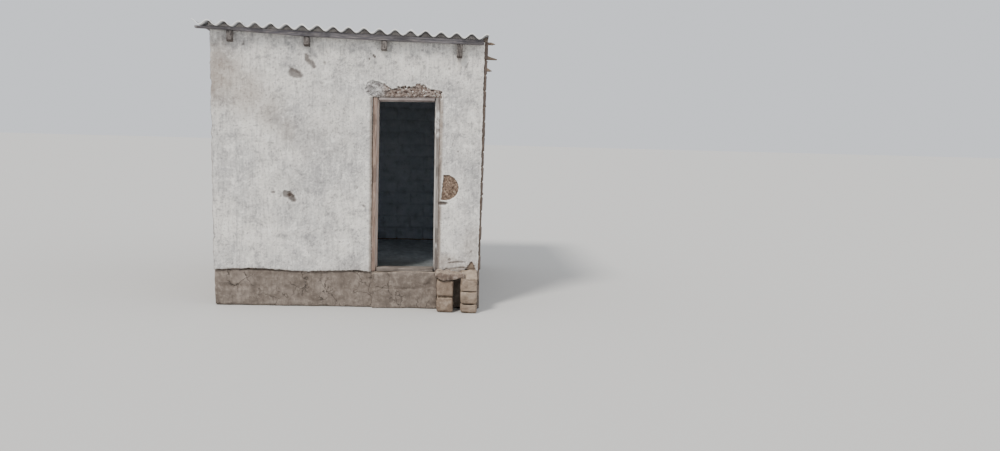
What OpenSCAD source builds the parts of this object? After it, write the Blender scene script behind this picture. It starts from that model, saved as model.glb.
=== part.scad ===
// Small adobe outbuilding with a plastered front, one open doorway and a lean-to roof of
// corrugated asbestos-cement sheets. Millimetres. +X is right seen from the front, the
// front faces -Y, +Z is up. The origin is on the ground, in the middle of the plan.

/* [Walls] */
// Length of the front wall at the plinth
wall_w = 2706; // [2300:1:3400]
// Depth of the walls, from the front adobe face to the back one
wall_depth = 2605; // [2200:1:3200]
// Thickness of the adobe walls, one brick long
wall_t = 330; // [280:1:400]
// How far the top of the right end leans out
wall_lean = 28; // [0:1:29]
// Height of the plinth that the walls stand on
plinth_h = 380; // [300:1:450]
// Step down from the plinth's top to the earth floor
floor_drop = 12; // [0:1:60]
// Thickness of the lime plaster on the front
plaster_t = 25; // [15:1:30]
// Bare adobe left beside the plaster at the right end, at the bottom and at the top
bare_strip = [24, 38]; // [0:1:60]
// Height above the plinth of each ridge of mortar squeezed out of the right end
ridge_at = [2060, 2177, 2325]; // [1700:1:2330]
// Reach of each ridge from the wall
ridge_reach = [49, 96, 71]; // [20:1:110]
// Height of a ridge where it leaves the wall
ridge_h = 36; // [20:1:45]
// Length of a ridge along the wall
ridge_l = 140; // [60:1:250]

/* [Doorway] */
// Middle of the doorway, measured from the front wall's left end
door_at = 1931; // [1800:1:1980]
// Clear width between the jambs at the sill
door_w = 578; // [480:1:620]
// Clear height from the sill to the underside of the frame's head, at the left
door_h = 1686; // [1500:1:1760]
// Rise of the frame's head from left to right, as the frame has sagged
head_rise = 13; // [0:1:20]
// How far the left and right jambs lean inwards at their tops
jamb_lean = [10, 8]; // [0:1:12]
// Width of a jamb seen from the front
jamb_w = 55; // [40:1:70]
// Depth of the door frame into the wall
frame_d = 110; // [80:1:160]
// Width and depth of the rebate that a door leaf closed into
rebate = [14, 42]; // [8:1:50]
// Thickness of the frame's head and of its sill
head_t = 52; // [35:1:60]
// Thickness of the wooden sill
sill_t = 40; // [25:1:60]
// Length of the jamb tops above the frame's head
horn = 26; // [10:1:40]
// Thickness of the timber lintel
lintel_t = 62; // [40:1:90]
// Length of each lintel end that bears on the wall
lintel_rest = 120; // [80:1:150]
// Setback of the lintel behind the adobe face, where mud covers it
lintel_inset = 30; // [15:1:60]

/* [Roof] */
// Height of the sheets' troughs at the front eave, over the middle of the plan
eave_h = 2770; // [2600:1:2900]
// Fall of the roof towards the back, in degrees
back_fall = 5; // [3:0.5:7]
// Fall of the eave towards the right, in degrees
side_fall = 1.1; // [0:0.1:1.6]
// Reach of the sheets in front of the plaster
front_overhang = 140; // [120:1:190]
// Reach of the sheets behind the back wall
back_overhang = 120; // [80:1:200]
// Reach of the sheets past the left end of the walls
left_overhang = 135; // [60:1:200]
// Reach of the sheets past the right end of the walls at the plinth
right_overhang = 29; // [29:1:120]
// Distance from one wave of the sheets to the next
wave_pitch = 150; // [130:1:177]
// Height of a wave, from trough to crest
wave_h = 45; // [30:1:55]
// Thickness of a sheet
sheet_t = 6; // [5:0.5:8]
// Waves that one sheet covers, without its side lap
cover_waves = 7; // [6:1:7]
// Width of the side lap between two sheets
side_lap = 80; // [50:1:100]
// Length of the sheets in the front row
front_sheet_l = 1750; // [1500:1:1900]
// Lap of the front row over the back row
row_lap = 180; // [120:1:250]
// Width of the mud packed under the last wave at the front wall's right end
fill_w = 105; // [40:1:140]

/* [Roof timbers] */
// Distance between rafters
rafter_pitch = 750; // [700:1:780]
// Middle of the first rafter, measured from the front wall's left end
rafter_at = 203; // [180:1:230]
// Width of a rafter
rafter_w = 60; // [45:1:80]
// Depth of each rafter, from left to right
rafter_h = [108, 90, 98, 132]; // [70:1:150]
// Reach of the rafter ends past the wall's faces
rafter_reach = 55; // [20:1:70]
// Depth of the purlins where they cross each rafter, from left to right
purlin_t = [25, 52, 52, 46]; // [20:1:60]
// Depth of the purlins at their left and right ends
purlin_end_t = [22, 44]; // [15:1:60]
// Width of a purlin along the slope
purlin_w = 60; // [40:1:70]
// Space between the eave purlin and the plaster
purlin_gap = 5; // [1:1:20]
// Distance from the roof's edges to the purlins' left and right ends
purlin_inset = [12, 46]; // [5:1:80]

/* [Broken step] */
// Reach of the longest block in front of the plaster
step_reach = 200; // [190:1:300]
// Width of one adobe block of the step
block_w = 176; // [150:1:180]
// Height of one adobe block of the step
block_h = 135; // [120:1:140]
// Left edge of the left stack, measured from the door frame's right side
stack_at = -13; // [-20:1:0]
// Open joint between the two stacks
stack_gap = 66; // [50:1:90]
// Width, height and undercut of the broken cap slab
cap_size = [320, 105, 14]; // [5:1:340]

/* [Broken plaster] */
// Radius of the half-round patch broken out right of the doorway
patch_r = 131; // [90:1:140]
// Place of the patch: right of the frame, and above the sill
patch_at = [60, 842]; // [50:1:1000]
// Distance from the patch's middle to its straight left side
patch_flat = 34; // [10:1:50]
// Depth of the plaster broken off above the door frame
break_h = 117; // [60:1:130]

/* [Hidden] */

// Clearances
seat = 0.3;          // between a piece and what it rests on, where faces are sloped or curved
pocket_gap = 3;      // beside a timber in its wall pocket
over = 10;           // how far a cutting shape runs past what it cuts

// Plan: the left eave and the mortar ridges set the width, the step and the back eave the depth
roof_w = left_overhang + wall_w + right_overhang;
function lean_at(h) = wall_lean * h / (eave_h - plinth_h);
reach_right = max(right_overhang, max([for (i = [0:2]) lean_at(ridge_at[i]) + ridge_reach[i]]));
plan_w = left_overhang + wall_w + reach_right;
reach_front = max(step_reach, front_overhang);
plan_d = reach_front + plaster_t + wall_depth + back_overhang;
roof_left = -plan_w / 2;
x_left = roof_left + left_overhang;
x_right = x_left + wall_w;
y_face = reach_front - plan_d / 2;
y_adobe = y_face + plaster_t;
y_back = y_adobe + wall_depth;
y_room = y_adobe + wall_t;
y_room_back = y_back - wall_t;
y_eave = y_face - front_overhang;

// Doorway
door_x = x_left + door_at;
frame_l = door_x - door_w / 2 - jamb_w;
frame_r = door_x + door_w / 2 + jamb_w;
frame_gap = 3;
jamb_top = plinth_h + sill_t + door_h + head_rise + head_t + horn;
y_frame = y_adobe;
lintel_z = jamb_top + seat;

// Roof frame: u along the eave, v down the slope, w up from the troughs
sheet_h = wave_h + sheet_t;
roof_reach = front_overhang + plaster_t + wall_depth + back_overhang;
roof_skew = plan_w / 2 * sin(side_fall) * sin(back_fall);
roof_len = (roof_reach - sheet_h * sin(back_fall) - roof_skew) / cos(back_fall);
v_face = front_overhang / cos(back_fall);
v_back = (y_back - y_eave) / cos(back_fall);
v_row = front_sheet_l - row_lap;
v_purlin = [
    v_face - purlin_gap - purlin_w, v_row + (row_lap - purlin_w) / 2,
    v_back - (wall_t + purlin_w) / 2
];
row_tilt = asin((sheet_t + seat) / (v_row - v_purlin[0]));
wall_top_gap = 2;
back_top_gap = max(purlin_t) + 3;
wave_steps = 12;     // straight facets in one wave
rafter_x = [for (i = [0:3]) x_left + rafter_at + i * rafter_pitch];
rafter_v = [v_face - rafter_reach, v_back + rafter_reach];
purlin_u = [roof_left + purlin_inset[0], roof_left + roof_w - purlin_inset[1]];

// Broken step
y_step = y_face - step_reach;
stack_x = [frame_r + stack_at, frame_r + stack_at + block_w + stack_gap];
stack_front = [y_step + 28, y_step + 8];
cap_x = stack_x[0] - 24;
upper_top = plinth_h - 18;
cap_z = upper_top - 32;

// Colours as the photograph shows them
adobe = [0.62, 0.53, 0.44];
mud = [0.55, 0.47, 0.40];
plaster = [0.80, 0.79, 0.77];
weathered_wood = [0.52, 0.45, 0.40];
sheet_grey = [0.58, 0.58, 0.60];
earth = [0.42, 0.36, 0.30];

// Puts its children in the roof frame
module on_roof() {
    translate([0, y_eave, eave_h]) rotate([-back_fall, 0, 0]) rotate([0, side_fall, 0]) children();
}

// A front-view outline in X and Z, given a thickness from y0 back to y1
module upright(y0, y1) {
    translate([0, y1, 0]) rotate([90, 0, 0]) linear_extrude(y1 - y0) children();
}

// A box from its lowest to its highest corner
module block(low, high) {
    translate(low) cube(high - low);
}

// Everything from w up, over the whole roof
module above_roof_plane(w) {
    on_roof() translate([-roof_w, -roof_len, w]) cube([2 * roof_w, 3 * roof_len, eave_h]);
}

// Depth from the troughs to the underside of rafter i
function rafter_low(i) = purlin_t[i] + seat + rafter_h[i];

module rafter(i) {
    color(weathered_wood) on_roof()
        translate([rafter_x[i] - rafter_w / 2, rafter_v[0], -rafter_low(i)])
            cube([rafter_w, rafter_v[1] - rafter_v[0], rafter_h[i]]);
}

// Space that rafter i takes in a wall, open at the top
module rafter_pocket(i) {
    on_roof()
        translate([rafter_x[i] - rafter_w / 2 - pocket_gap, rafter_v[0] - over, -rafter_low(i) - seat])
            cube([rafter_w + 2 * pocket_gap, rafter_v[1] - rafter_v[0] + 2 * over, eave_h]);
}

// Front view of a purlin: flat on top, with a flat seat over each rafter below
function purlin_outline(grow) = concat(
    [[purlin_u[0] - grow, -purlin_end_t[0] - grow]],
    [for (i = [0:3], side = [-1, 1]) [rafter_x[i] + side * rafter_w / 2, -purlin_t[i] - grow]],
    [[purlin_u[1] + grow, -purlin_end_t[1] - grow], [purlin_u[1] + grow, grow], [purlin_u[0] - grow, grow]]
);

module purlin_shape(n, grow = 0) {
    on_roof() translate([0, v_purlin[n] + purlin_w + grow, 0]) rotate([90, 0, 0])
        linear_extrude(purlin_w + 2 * grow) polygon(purlin_outline(grow));
}

module purlin(n) {
    color(weathered_wood) purlin_shape(n);
}

// Underside of sheet i at u, counted from the roof's left edge; each next sheet rides up over
// the edge of the one before and comes down again within one wave
function wave(u) = wave_h / 2 * (1 + cos(360 * u / wave_pitch));
function ramp(d) = d <= side_lap ? 1 : d >= side_lap + wave_pitch ? 0
    : (1 + cos(180 * (d - side_lap) / wave_pitch)) / 2;
function sheet_start(i) = i * cover_waves * wave_pitch;
function sheet_end(i) = i == 2 ? roof_w : sheet_start(i + 1) + side_lap;
function low(i, u) = wave(u) + (i == 0 ? 0 : (sheet_t + seat) * ramp(u - sheet_start(i)));
function grid(i) = [
    for (k = [0 : floor((sheet_end(i) - sheet_start(i)) * wave_steps / wave_pitch - 0.05)])
        sheet_start(i) + k * wave_pitch / wave_steps
];
function stations(i) = concat(grid(i), [sheet_end(i)]);

// Sheet i from v0 to v1 down the slope
module sheet(i, v0, v1) {
    u = stations(i);
    last = len(u) - 1;
    outline = concat(
        [for (k = [0:last]) [u[k] + roof_left, low(i, u[k])]],
        [for (k = [last:-1:0]) [u[k] + roof_left, low(i, u[k]) + sheet_t]]
    );
    translate([0, v1, 0]) rotate([90, 0, 0]) linear_extrude(v1 - v0) polygon(outline);
}

// The front row rests on the eave purlin and on the back row's upper ends. The corner that
// would lie between two other sheets is cut away.
module front_sheet(i) {
    corner_u = sheet_start(i + 1) + roof_left;
    color(sheet_grey) on_roof() difference() {
        translate([0, v_purlin[0], seat]) rotate([row_tilt, 0, 0]) translate([0, -v_purlin[0], 0])
            sheet(i, 0, front_sheet_l);
        if (i < 2)
            translate([corner_u - pocket_gap, v_row - over, -over])
                cube([side_lap + pocket_gap + over, row_lap + 2 * over, 2 * sheet_h]);
    }
}

module back_sheet(i) {
    color(sheet_grey) on_roof() translate([0, 0, seat]) sheet(i, v_row, roof_len);
}

// Right end of the walls at height z, with its lean
function right_end(z) = x_right + lean_at(z - plinth_h);
top_z = eave_h + roof_w * sin(side_fall);

module plinth_front() {
    color(mud) block([x_left, y_adobe, 0], [x_right, y_room, plinth_h]);
}

module plinth_back() {
    color(mud) block([x_left, y_room_back, 0], [x_right, y_back, plinth_h]);
}

module plinth_left() {
    color(mud) block([x_left, y_room, 0], [x_left + wall_t, y_room_back, plinth_h]);
}

module plinth_right() {
    color(mud) block([x_right - wall_t, y_room, 0], [x_right, y_room_back, plinth_h]);
}

module earth_floor() {
    color(earth)
        block([x_left + wall_t, y_room, 0], [x_right - wall_t, y_room_back, plinth_h - floor_drop]);
}

// Cuts a front piece to the roof and to the rafters that cross it
module under_rafters() {
    difference() {
        children();
        above_roof_plane(-wall_top_gap);
        for (i = [0:3]) rafter_pocket(i);
    }
}

// Space for the lintel, whose ends bear on the walls beside the doorway
module lintel_pocket() {
    block([frame_l - lintel_rest - pocket_gap, y_adobe + lintel_inset, lintel_z - seat],
          [frame_r + lintel_rest + pocket_gap, y_room + over, lintel_z + lintel_t + seat]);
    block([frame_l - frame_gap, y_adobe - over, lintel_z - seat],
          [frame_r + frame_gap, y_room + over, lintel_z + lintel_t + seat]);
}

module front_wall_left() {
    color(adobe) under_rafters() difference() {
        block([x_left, y_adobe, plinth_h], [frame_l - frame_gap, y_room, top_z]);
        lintel_pocket();
    }
}

// Ridge i of the mortar that was squeezed out of the right end: flat below, thin at its edge
module mortar_ridge(i) {
    z = plinth_h + ridge_at[i];
    x = right_end(z);
    upright(y_adobe, y_adobe + ridge_l) polygon([
        [x - over, z], [x, z], [x + ridge_reach[i], z + 0.1 * ridge_h],
        [x + 0.4 * ridge_reach[i], z + 0.45 * ridge_h], [x, z + ridge_h], [x - over, z + ridge_h]
    ]);
}

module front_wall_right() {
    x0 = frame_r + frame_gap;
    color(adobe) under_rafters() difference() {
        union() {
            upright(y_adobe, y_room) polygon([
                [x0, plinth_h], [x_right, plinth_h], [right_end(top_z), top_z], [x0, top_z]
            ]);
            for (i = [0:2]) mortar_ridge(i);
        }
        lintel_pocket();
    }
}

// Mud packed between the right end of the front wall and the last wave of the sheets
module gable_fill() {
    last = roof_w - max(right_overhang - wall_lean, 0) - pocket_gap;
    u = [for (k = [0:8]) last - fill_w + k * fill_w / 8];
    color(mud) on_roof() translate([0, (y_room - y_eave) / cos(back_fall), 0]) rotate([90, 0, 0])
        linear_extrude(wall_t) polygon(concat(
            [[roof_left + u[8], seat - wall_top_gap], [roof_left + u[0], seat - wall_top_gap]],
            [for (k = [0:8]) [roof_left + u[k], fill_top(u[k])]]
        ));
}

// Top of the fill, just under the facets of the last sheet
function fill_top(u) = min([for (d = [-1, 0, 1]) wave(u + d * wave_pitch / wave_steps)]) - seat;

module front_wall_over_door() {
    color(adobe) under_rafters()
        block([frame_l - frame_gap, y_adobe, lintel_z + lintel_t + seat],
              [frame_r + frame_gap, y_room, top_z]);
}

// The end rafters lie on the inner half of the side walls, and the outer half hides them
module left_wall() {
    ledge = rafter_low(0) + seat;
    color(adobe) difference() {
        block([x_left, y_room, plinth_h], [x_left + wall_t, y_room_back, top_z]);
        above_roof_plane(-wall_top_gap);
        purlin_shape(1, pocket_gap);
        on_roof() translate([rafter_x[0] - rafter_w / 2 - pocket_gap, 0, -ledge])
            cube([wall_t, roof_len, eave_h]);
    }
}

module right_wall() {
    ledge = rafter_low(3) + seat;
    x1 = rafter_x[3] + rafter_w / 2 + pocket_gap;
    color(adobe) difference() {
        upright(y_room, y_room_back) polygon([
            [x_right - wall_t, plinth_h], [x_right, plinth_h],
            [right_end(top_z), top_z], [x_right - wall_t, top_z]
        ]);
        above_roof_plane(-wall_top_gap);
        purlin_shape(1, pocket_gap);
        on_roof() translate([x1 - wall_t, 0, -ledge]) cube([wall_t, roof_len, eave_h]);
    }
}

module back_wall() {
    color(adobe) difference() {
        upright(y_room_back, y_back) polygon([
            [x_left, plinth_h], [x_right, plinth_h], [right_end(top_z), top_z], [x_left, top_z]
        ]);
        above_roof_plane(-back_top_gap);
        for (i = [0:3]) rafter_pocket(i);
    }
}

// Where the plaster has broken off above the door frame: the ragged edge has its places as
// shares of the frame's width and its heights as shares of the break's depth
module plaster_break() {
    z0 = jamb_top - horn;
    edge = [
        [-0.09, -0.10], [-0.105, 0.37], [-0.07, 0.85], [0.01, 1.00], [0.11, 0.88], [0.21, 0.62],
        [0.31, 0.38], [0.40, 0.52], [0.55, 0.63], [0.66, 0.79], [0.76, 0.75], [0.81, 0.46],
        [0.98, 0.37], [1.04, 0.21], [1.01, 0.05]
    ];
    polygon(concat(
        [[frame_r + 4, z0 - over], [frame_l - 26, z0 - over]],
        [for (p = edge) [frame_l + p[0] * (frame_r - frame_l), jamb_top + p[1] * break_h]]
    ));
}

// Half-round patch broken out beside the doorway, with its straight side to the left
module plaster_patch() {
    translate([frame_r + patch_at[0], plinth_h + sill_t + patch_at[1]]) intersection() {
        circle(r = patch_r, $fn = 64);
        polygon([
            [-patch_flat - 9, -patch_r - over], [patch_r + over, -patch_r - over],
            [patch_r + over, patch_r + over], [-patch_flat + 9, patch_r + over]
        ]);
    }
}

// Ragged foot of the plaster from x0 to x1, as shares of its width and heights over the plinth
function foot(x0, x1, points) = [for (p = points) [x0 + p[0] * (x1 - x0), plinth_h + p[1]]];

module front_plaster_left() {
    x0 = x_left + 3;
    x1 = frame_l - 6;
    ragged = [[0, -6], [0.27, 14], [0.57, -12], [0.92, 8], [1, -4]];
    color(plaster) under_rafters() upright(y_face, y_adobe) difference() {
        polygon(concat(foot(x0, x1, ragged), [[x1, top_z], [x0, top_z]]));
        plaster_break();
    }
}

module front_plaster_right() {
    x0 = frame_r - 9;
    x1 = x_right - bare_strip[0];
    ragged = [[0, 30], [0.264, 106], [0.601, 118], [0.707, 56], [0.841, 120], [0.966, 10], [1, 8]];
    color(plaster) under_rafters() upright(y_face, y_adobe) difference() {
        polygon(concat(
            foot(x0, x1, ragged),
            [[right_end(top_z) - bare_strip[1], top_z], [x0, top_z]]
        ));
        plaster_break();
        plaster_patch();
    }
}

module front_plaster_over_door() {
    color(plaster) under_rafters() upright(y_face, y_adobe) difference() {
        polygon([
            [frame_l - 6, jamb_top - horn], [frame_r - 9, jamb_top - horn], [frame_r - 9, top_z],
            [frame_l - 6, top_z]
        ]);
        plaster_break();
    }
}

// Inner edges of the left and right jambs at height z
function jamb_slope(side) = jamb_lean[side] / (sill_t + door_h);
function inner_l(z) = door_x - door_w / 2 + jamb_slope(0) * (z - plinth_h);
function inner_r(z) = door_x + door_w / 2 - jamb_slope(1) * (z - plinth_h);

module door_jamb_left() {
    color(weathered_wood) difference() {
        upright(y_frame, y_frame + frame_d) polygon([
            [inner_l(plinth_h) - jamb_w, plinth_h], [inner_l(plinth_h), plinth_h],
            [inner_l(jamb_top), jamb_top], [inner_l(jamb_top) - jamb_w, jamb_top]
        ]);
        upright(y_frame - over, y_frame + rebate[1]) polygon([
            [inner_l(plinth_h) - rebate[0], plinth_h + sill_t], [inner_l(plinth_h) + over, plinth_h + sill_t],
            [inner_l(jamb_top) + over, jamb_top - horn - head_t / 2],
            [inner_l(jamb_top) - rebate[0], jamb_top - horn - head_t / 2]
        ]);
    }
}

module door_jamb_right() {
    color(weathered_wood) difference() {
        upright(y_frame, y_frame + frame_d) polygon([
            [inner_r(plinth_h), plinth_h], [inner_r(plinth_h) + jamb_w, plinth_h],
            [inner_r(jamb_top) + jamb_w, jamb_top], [inner_r(jamb_top), jamb_top]
        ]);
        upright(y_frame - over, y_frame + rebate[1]) polygon([
            [inner_r(plinth_h) - over, plinth_h + sill_t], [inner_r(plinth_h) + rebate[0], plinth_h + sill_t],
            [inner_r(jamb_top) + rebate[0], jamb_top - horn - head_t / 2],
            [inner_r(jamb_top) - over, jamb_top - horn - head_t / 2]
        ]);
    }
}

// A rail between the jambs, whose underside and top run from the left to the right height
module rail(low, high) {
    upright(y_frame, y_frame + frame_d) polygon([
        [inner_l(low[0]) + seat, low[0]], [inner_r(low[1]) - seat, low[1]],
        [inner_r(high[1]) - seat, high[1]], [inner_l(high[0]) + seat, high[0]]
    ]);
}

module door_head() {
    z = plinth_h + sill_t + door_h;
    low = [z, z + head_rise];
    cut = low + [rebate[0], rebate[0]];
    color(weathered_wood) difference() {
        rail(low, low + [head_t, head_t]);
        upright(y_frame - over, y_frame + rebate[1]) polygon([
            [frame_l, low[0] - over], [frame_r, low[1] - over], [frame_r, cut[1]], [frame_l, cut[0]]
        ]);
    }
}

module door_sill() {
    color(weathered_wood) rail([plinth_h, plinth_h], [plinth_h + sill_t, plinth_h + sill_t + 3]);
}

module door_lintel() {
    color(weathered_wood)
        block([frame_l - lintel_rest, y_adobe + lintel_inset, lintel_z],
              [frame_r + lintel_rest, y_room, lintel_z + lintel_t]);
}

// Rough mud pressed over the frame's head and in front of the lintel
module mud_packing() {
    z = plinth_h + sill_t + door_h + head_t;
    color(mud) {
        upright(y_adobe, y_adobe + lintel_inset - seat) polygon([
            [frame_l - frame_gap + seat, jamb_top + seat], [frame_r + frame_gap - seat, jamb_top + seat],
            [frame_r + frame_gap - seat, lintel_z + lintel_t], [frame_l - frame_gap + seat, lintel_z + lintel_t]
        ]);
        upright(y_adobe, y_adobe + lintel_inset - seat) polygon([
            [inner_l(z) + seat, z + seat], [inner_r(z) - seat, z + head_rise + seat],
            [inner_r(jamb_top) - seat, jamb_top + 2 * seat], [inner_l(jamb_top) + seat, jamb_top + 2 * seat]
        ]);
    }
}

module mud_face_under_door() {
    reach = 15;
    color(mud) upright(y_face - reach, y_adobe) polygon([
        [frame_l, 0], [stack_x[0] - seat, 0], [stack_x[0] - seat, plinth_h + 8],
        [door_x, plinth_h + 12], [frame_l, plinth_h - 12]
    ]);
}

// One adobe block of the step, laid end on against the plinth
module step_block(stack, z0, z1) {
    color(adobe) block([stack_x[stack], stack_front[stack], z0], [stack_x[stack] + block_w, y_adobe, z1]);
}

module step_block_left_lower() {
    step_block(0, 0, cap_z - seat - block_h - 38);
}

module step_block_left_upper() {
    step_block(0, cap_z - block_h - 38, cap_z - seat);
}

module step_block_right_lower() {
    step_block(1, 0, upper_top - 2 * block_h - seat);
}

module step_block_right_middle() {
    step_block(1, upper_top - 2 * block_h, upper_top - block_h - seat);
}

// The top block is worn to a slope, clear of the plaster, and the cap slab lies on its left edge
module step_block_right_upper() {
    x0 = stack_x[1];
    y0 = stack_front[1];
    z0 = upper_top - block_h;
    wall_z = min(upper_top, plinth_h) - 30;
    color(adobe) difference() {
        translate([x0, 0, 0]) rotate([90, 0, 90]) linear_extrude(block_w) polygon([
            [y0, z0], [y0, upper_top], [y0 + 65, upper_top + 26], [y_face - seat, upper_top + 68],
            [y_face - seat, wall_z], [y_adobe, wall_z], [y_adobe, z0]
        ]);
        block([x0 - over, y_step - over, cap_z - seat], [cap_x + cap_size[0] + seat, y_face + over, upper_top + 200]);
    }
}

// Broken slab, thinner towards its front corners
module step_cap_slab() {
    w = cap_size[0];
    h = cap_size[1];
    color(mud) upright(y_step, y_face - seat) polygon([
        [cap_x + cap_size[2], cap_z], [cap_x + w, cap_z], [cap_x + w, cap_z + 0.55 * h],
        [cap_x + 0.93 * w, cap_z + 0.82 * h], [cap_x + 0.62 * w, cap_z + 0.86 * h],
        [cap_x + 0.38 * w, cap_z + h], [cap_x + 0.10 * w, cap_z + 0.94 * h],
        [cap_x, cap_z + 0.66 * h]
    ]);
}

plinth_front();
plinth_back();
plinth_left();
plinth_right();
earth_floor();
front_wall_left();
front_wall_right();
front_wall_over_door();
left_wall();
right_wall();
back_wall();
front_plaster_left();
front_plaster_right();
front_plaster_over_door();
door_jamb_left();
door_jamb_right();
door_head();
door_sill();
door_lintel();
mud_packing();
rafter(0);  // rafter_1
rafter(1);  // rafter_2
rafter(2);  // rafter_3
rafter(3);  // rafter_4
purlin(0);  // eave_purlin
purlin(1);  // middle_purlin
purlin(2);  // back_purlin
front_sheet(0);  // front_sheet_left
front_sheet(1);  // front_sheet_middle
front_sheet(2);  // front_sheet_right
back_sheet(0);  // back_sheet_left
back_sheet(1);  // back_sheet_middle
back_sheet(2);  // back_sheet_right
gable_fill();
mud_face_under_door();
step_block_left_lower();
step_block_left_upper();
step_block_right_lower();
step_block_right_middle();
step_block_right_upper();
step_cap_slab();
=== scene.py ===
"""Small adobe outbuilding: lime plaster, adobe bricks, weathered timber and corrugated sheets."""
import math
from collections import namedtuple

import bmesh
import bpy
import numpy as np
from mathutils import Matrix, Vector


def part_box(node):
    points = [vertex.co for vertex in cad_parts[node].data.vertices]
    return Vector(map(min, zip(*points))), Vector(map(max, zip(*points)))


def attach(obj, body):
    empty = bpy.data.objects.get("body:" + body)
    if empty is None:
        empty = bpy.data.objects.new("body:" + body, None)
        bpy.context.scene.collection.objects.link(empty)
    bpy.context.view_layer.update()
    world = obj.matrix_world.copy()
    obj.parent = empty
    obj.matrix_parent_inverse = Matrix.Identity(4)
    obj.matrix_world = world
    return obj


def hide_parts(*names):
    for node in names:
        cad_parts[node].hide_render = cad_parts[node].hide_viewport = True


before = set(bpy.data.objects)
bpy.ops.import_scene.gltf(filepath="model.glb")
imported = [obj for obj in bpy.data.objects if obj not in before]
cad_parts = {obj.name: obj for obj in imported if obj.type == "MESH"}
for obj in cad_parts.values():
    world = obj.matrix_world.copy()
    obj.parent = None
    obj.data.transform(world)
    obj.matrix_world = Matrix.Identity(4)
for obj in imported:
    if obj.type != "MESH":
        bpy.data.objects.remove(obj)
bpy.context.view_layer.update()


def corners(node):
    """Lowest and highest corner of a CAD node, as arrays"""
    low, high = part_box(node)
    return np.array(low), np.array(high)


# Walls, from the frame
X_LEFT, Y_ADOBE, _ = corners("plinth_front")[0]
X_RIGHT, Y_ROOM, PLINTH_H = corners("plinth_front")[1]
Y_ROOM_BACK = corners("plinth_back")[0][1]
Y_BACK = corners("plinth_back")[1][1]
Y_FACE = corners("front_plaster_left")[0][1]
WALL_T = Y_ROOM - Y_ADOBE

# Doorway, from the frame
FRAME_L = corners("door_jamb_left")[0][0]
FRAME_R = corners("door_jamb_right")[1][0]
JAMB_TOP = corners("door_jamb_left")[1][2]
LINTEL_LOW, LINTEL_HIGH = corners("door_lintel")
HORN = 0.026            # length of the jamb tops above the frame's head
HEAD_T = 0.052          # thickness of the frame's head
HEAD_RISE = 0.013       # rise of the head from left to right
JAMB_W = 0.055          # width of a jamb
FRAME_D = 0.110         # depth of the frame
REBATE_W = 0.014
REBATE_D = 0.042
JAMB_LEAN = (0.010, 0.008)   # how far the left and right jambs lean in
SILL_T = 0.040
SILL_RISE = 0.07        # how much higher the sill is on the right, as a share of its thickness

# Roof
EAVE_Y = Y_FACE - 0.140         # the roof's plane lies on the troughs of the sheets
EAVE_Z = 2.770
BACK_FALL = math.radians(5)
SIDE_FALL = math.radians(1.1)   # the roof is a little lower on the right
WALL_LEAN = 0.028       # how far the right end leans out at the eave
ROOF_W = 2.870
ROOF_LEFT = X_LEFT - 0.135
ROOF_LEN = 2.894
WAVE = 0.150
WAVES = 19              # waves along the eave
WAVE_H = 0.045
SHEET_WAVES = 7         # waves that one sheet covers, its side lap left out
SHEET_T = 0.006
SEAT = 0.0003           # play between pieces that lie on each other
SIDE_LAP = 0.080
ROW_V = 1.570           # where the back row starts
FRONT_SHEET_L = 1.750
PURLIN_W = 0.060
PURLIN_V = (0.0755, 1.630, 2.5856)      # front edges of the purlins down the slope
PURLIN_T = (0.025, 0.052, 0.052, 0.046)         # depth of the purlins over each rafter
PURLIN_END_T = (0.022, 0.044)   # and at their two ends
RAFTER_FIRST = 0.203    # from the walls' left end to the first rafter
RAFTER_PITCH = 0.750
RAFTER_X = tuple(X_LEFT + RAFTER_FIRST + RAFTER_PITCH * i for i in range(4))
RAFTER_W = 0.060
RAFTER_H = (0.108, 0.090, 0.098, 0.132)         # depth of each rafter
RAFTER_V = (0.0855, 2.8356)     # ends of the rafters down the slope

# Adobe bricks
BRICK_L = 0.338         # one brick and its joint along the wall
COURSE = 0.153          # one course with its joint
COURSES = 17
BED = (0.035, -0.008)   # start of the first course over the plinth, outside and inside
LEAST_BRICK = 0.045     # a lower rest below the roof gets no brick of its own
WYTHE = 0.160           # thickness of one layer of bricks, of which a wall has two
JOINT = 0.012           # width of the joints
MORTAR_INSET = 0.009    # depth of the joints
INNER_RECESS = 0.005    # how much shallower the joints are in the room
RIDGE_AT = (2.060, 2.177, 2.325)        # heights of the mortar ridges over the plinth
RIDGE_REACH = (0.049, 0.096, 0.071)     # how far they stand out to the right
RIDGE_H = 0.036
RIDGE_L = 0.140         # how far they run back along the wall


def roof(points):
    """Points in roof measures, along the eave, down the slope and up from the troughs, in the frame"""
    u, v, w = np.moveaxis(np.asarray(points, float), -1, 0)
    x = u * math.cos(SIDE_FALL) + w * math.sin(SIDE_FALL)
    up = w * math.cos(SIDE_FALL) - u * math.sin(SIDE_FALL)
    y = EAVE_Y + v * math.cos(BACK_FALL) + up * math.sin(BACK_FALL)
    z = EAVE_Z - v * math.sin(BACK_FALL) + up * math.cos(BACK_FALL)
    return np.stack([x, y, z], -1)


def roof_z(x, y, w=0.0):
    """Height of the roof's plane w above the troughs at x and y"""
    nx, nz = math.sin(SIDE_FALL), math.cos(SIDE_FALL) * math.cos(BACK_FALL)
    ny = math.cos(SIDE_FALL) * math.sin(BACK_FALL)
    return EAVE_Z + (w - nx * x - ny * (y - EAVE_Y)) / nz


def lean(z):
    """How far the right end of the walls leans out at height z"""
    return WALL_LEAN * (z - PLINTH_H) / (EAVE_Z - PLINTH_H)


# Noise


SPREAD = (73856093, 19349663, 83492791)     # large odd numbers that tell lattice points apart
SEED_SPREAD = 2654435761
SCRAMBLE = (1274126177, 2246822519)
WHOLE_WORD = 0xFFFFFFFF


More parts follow.
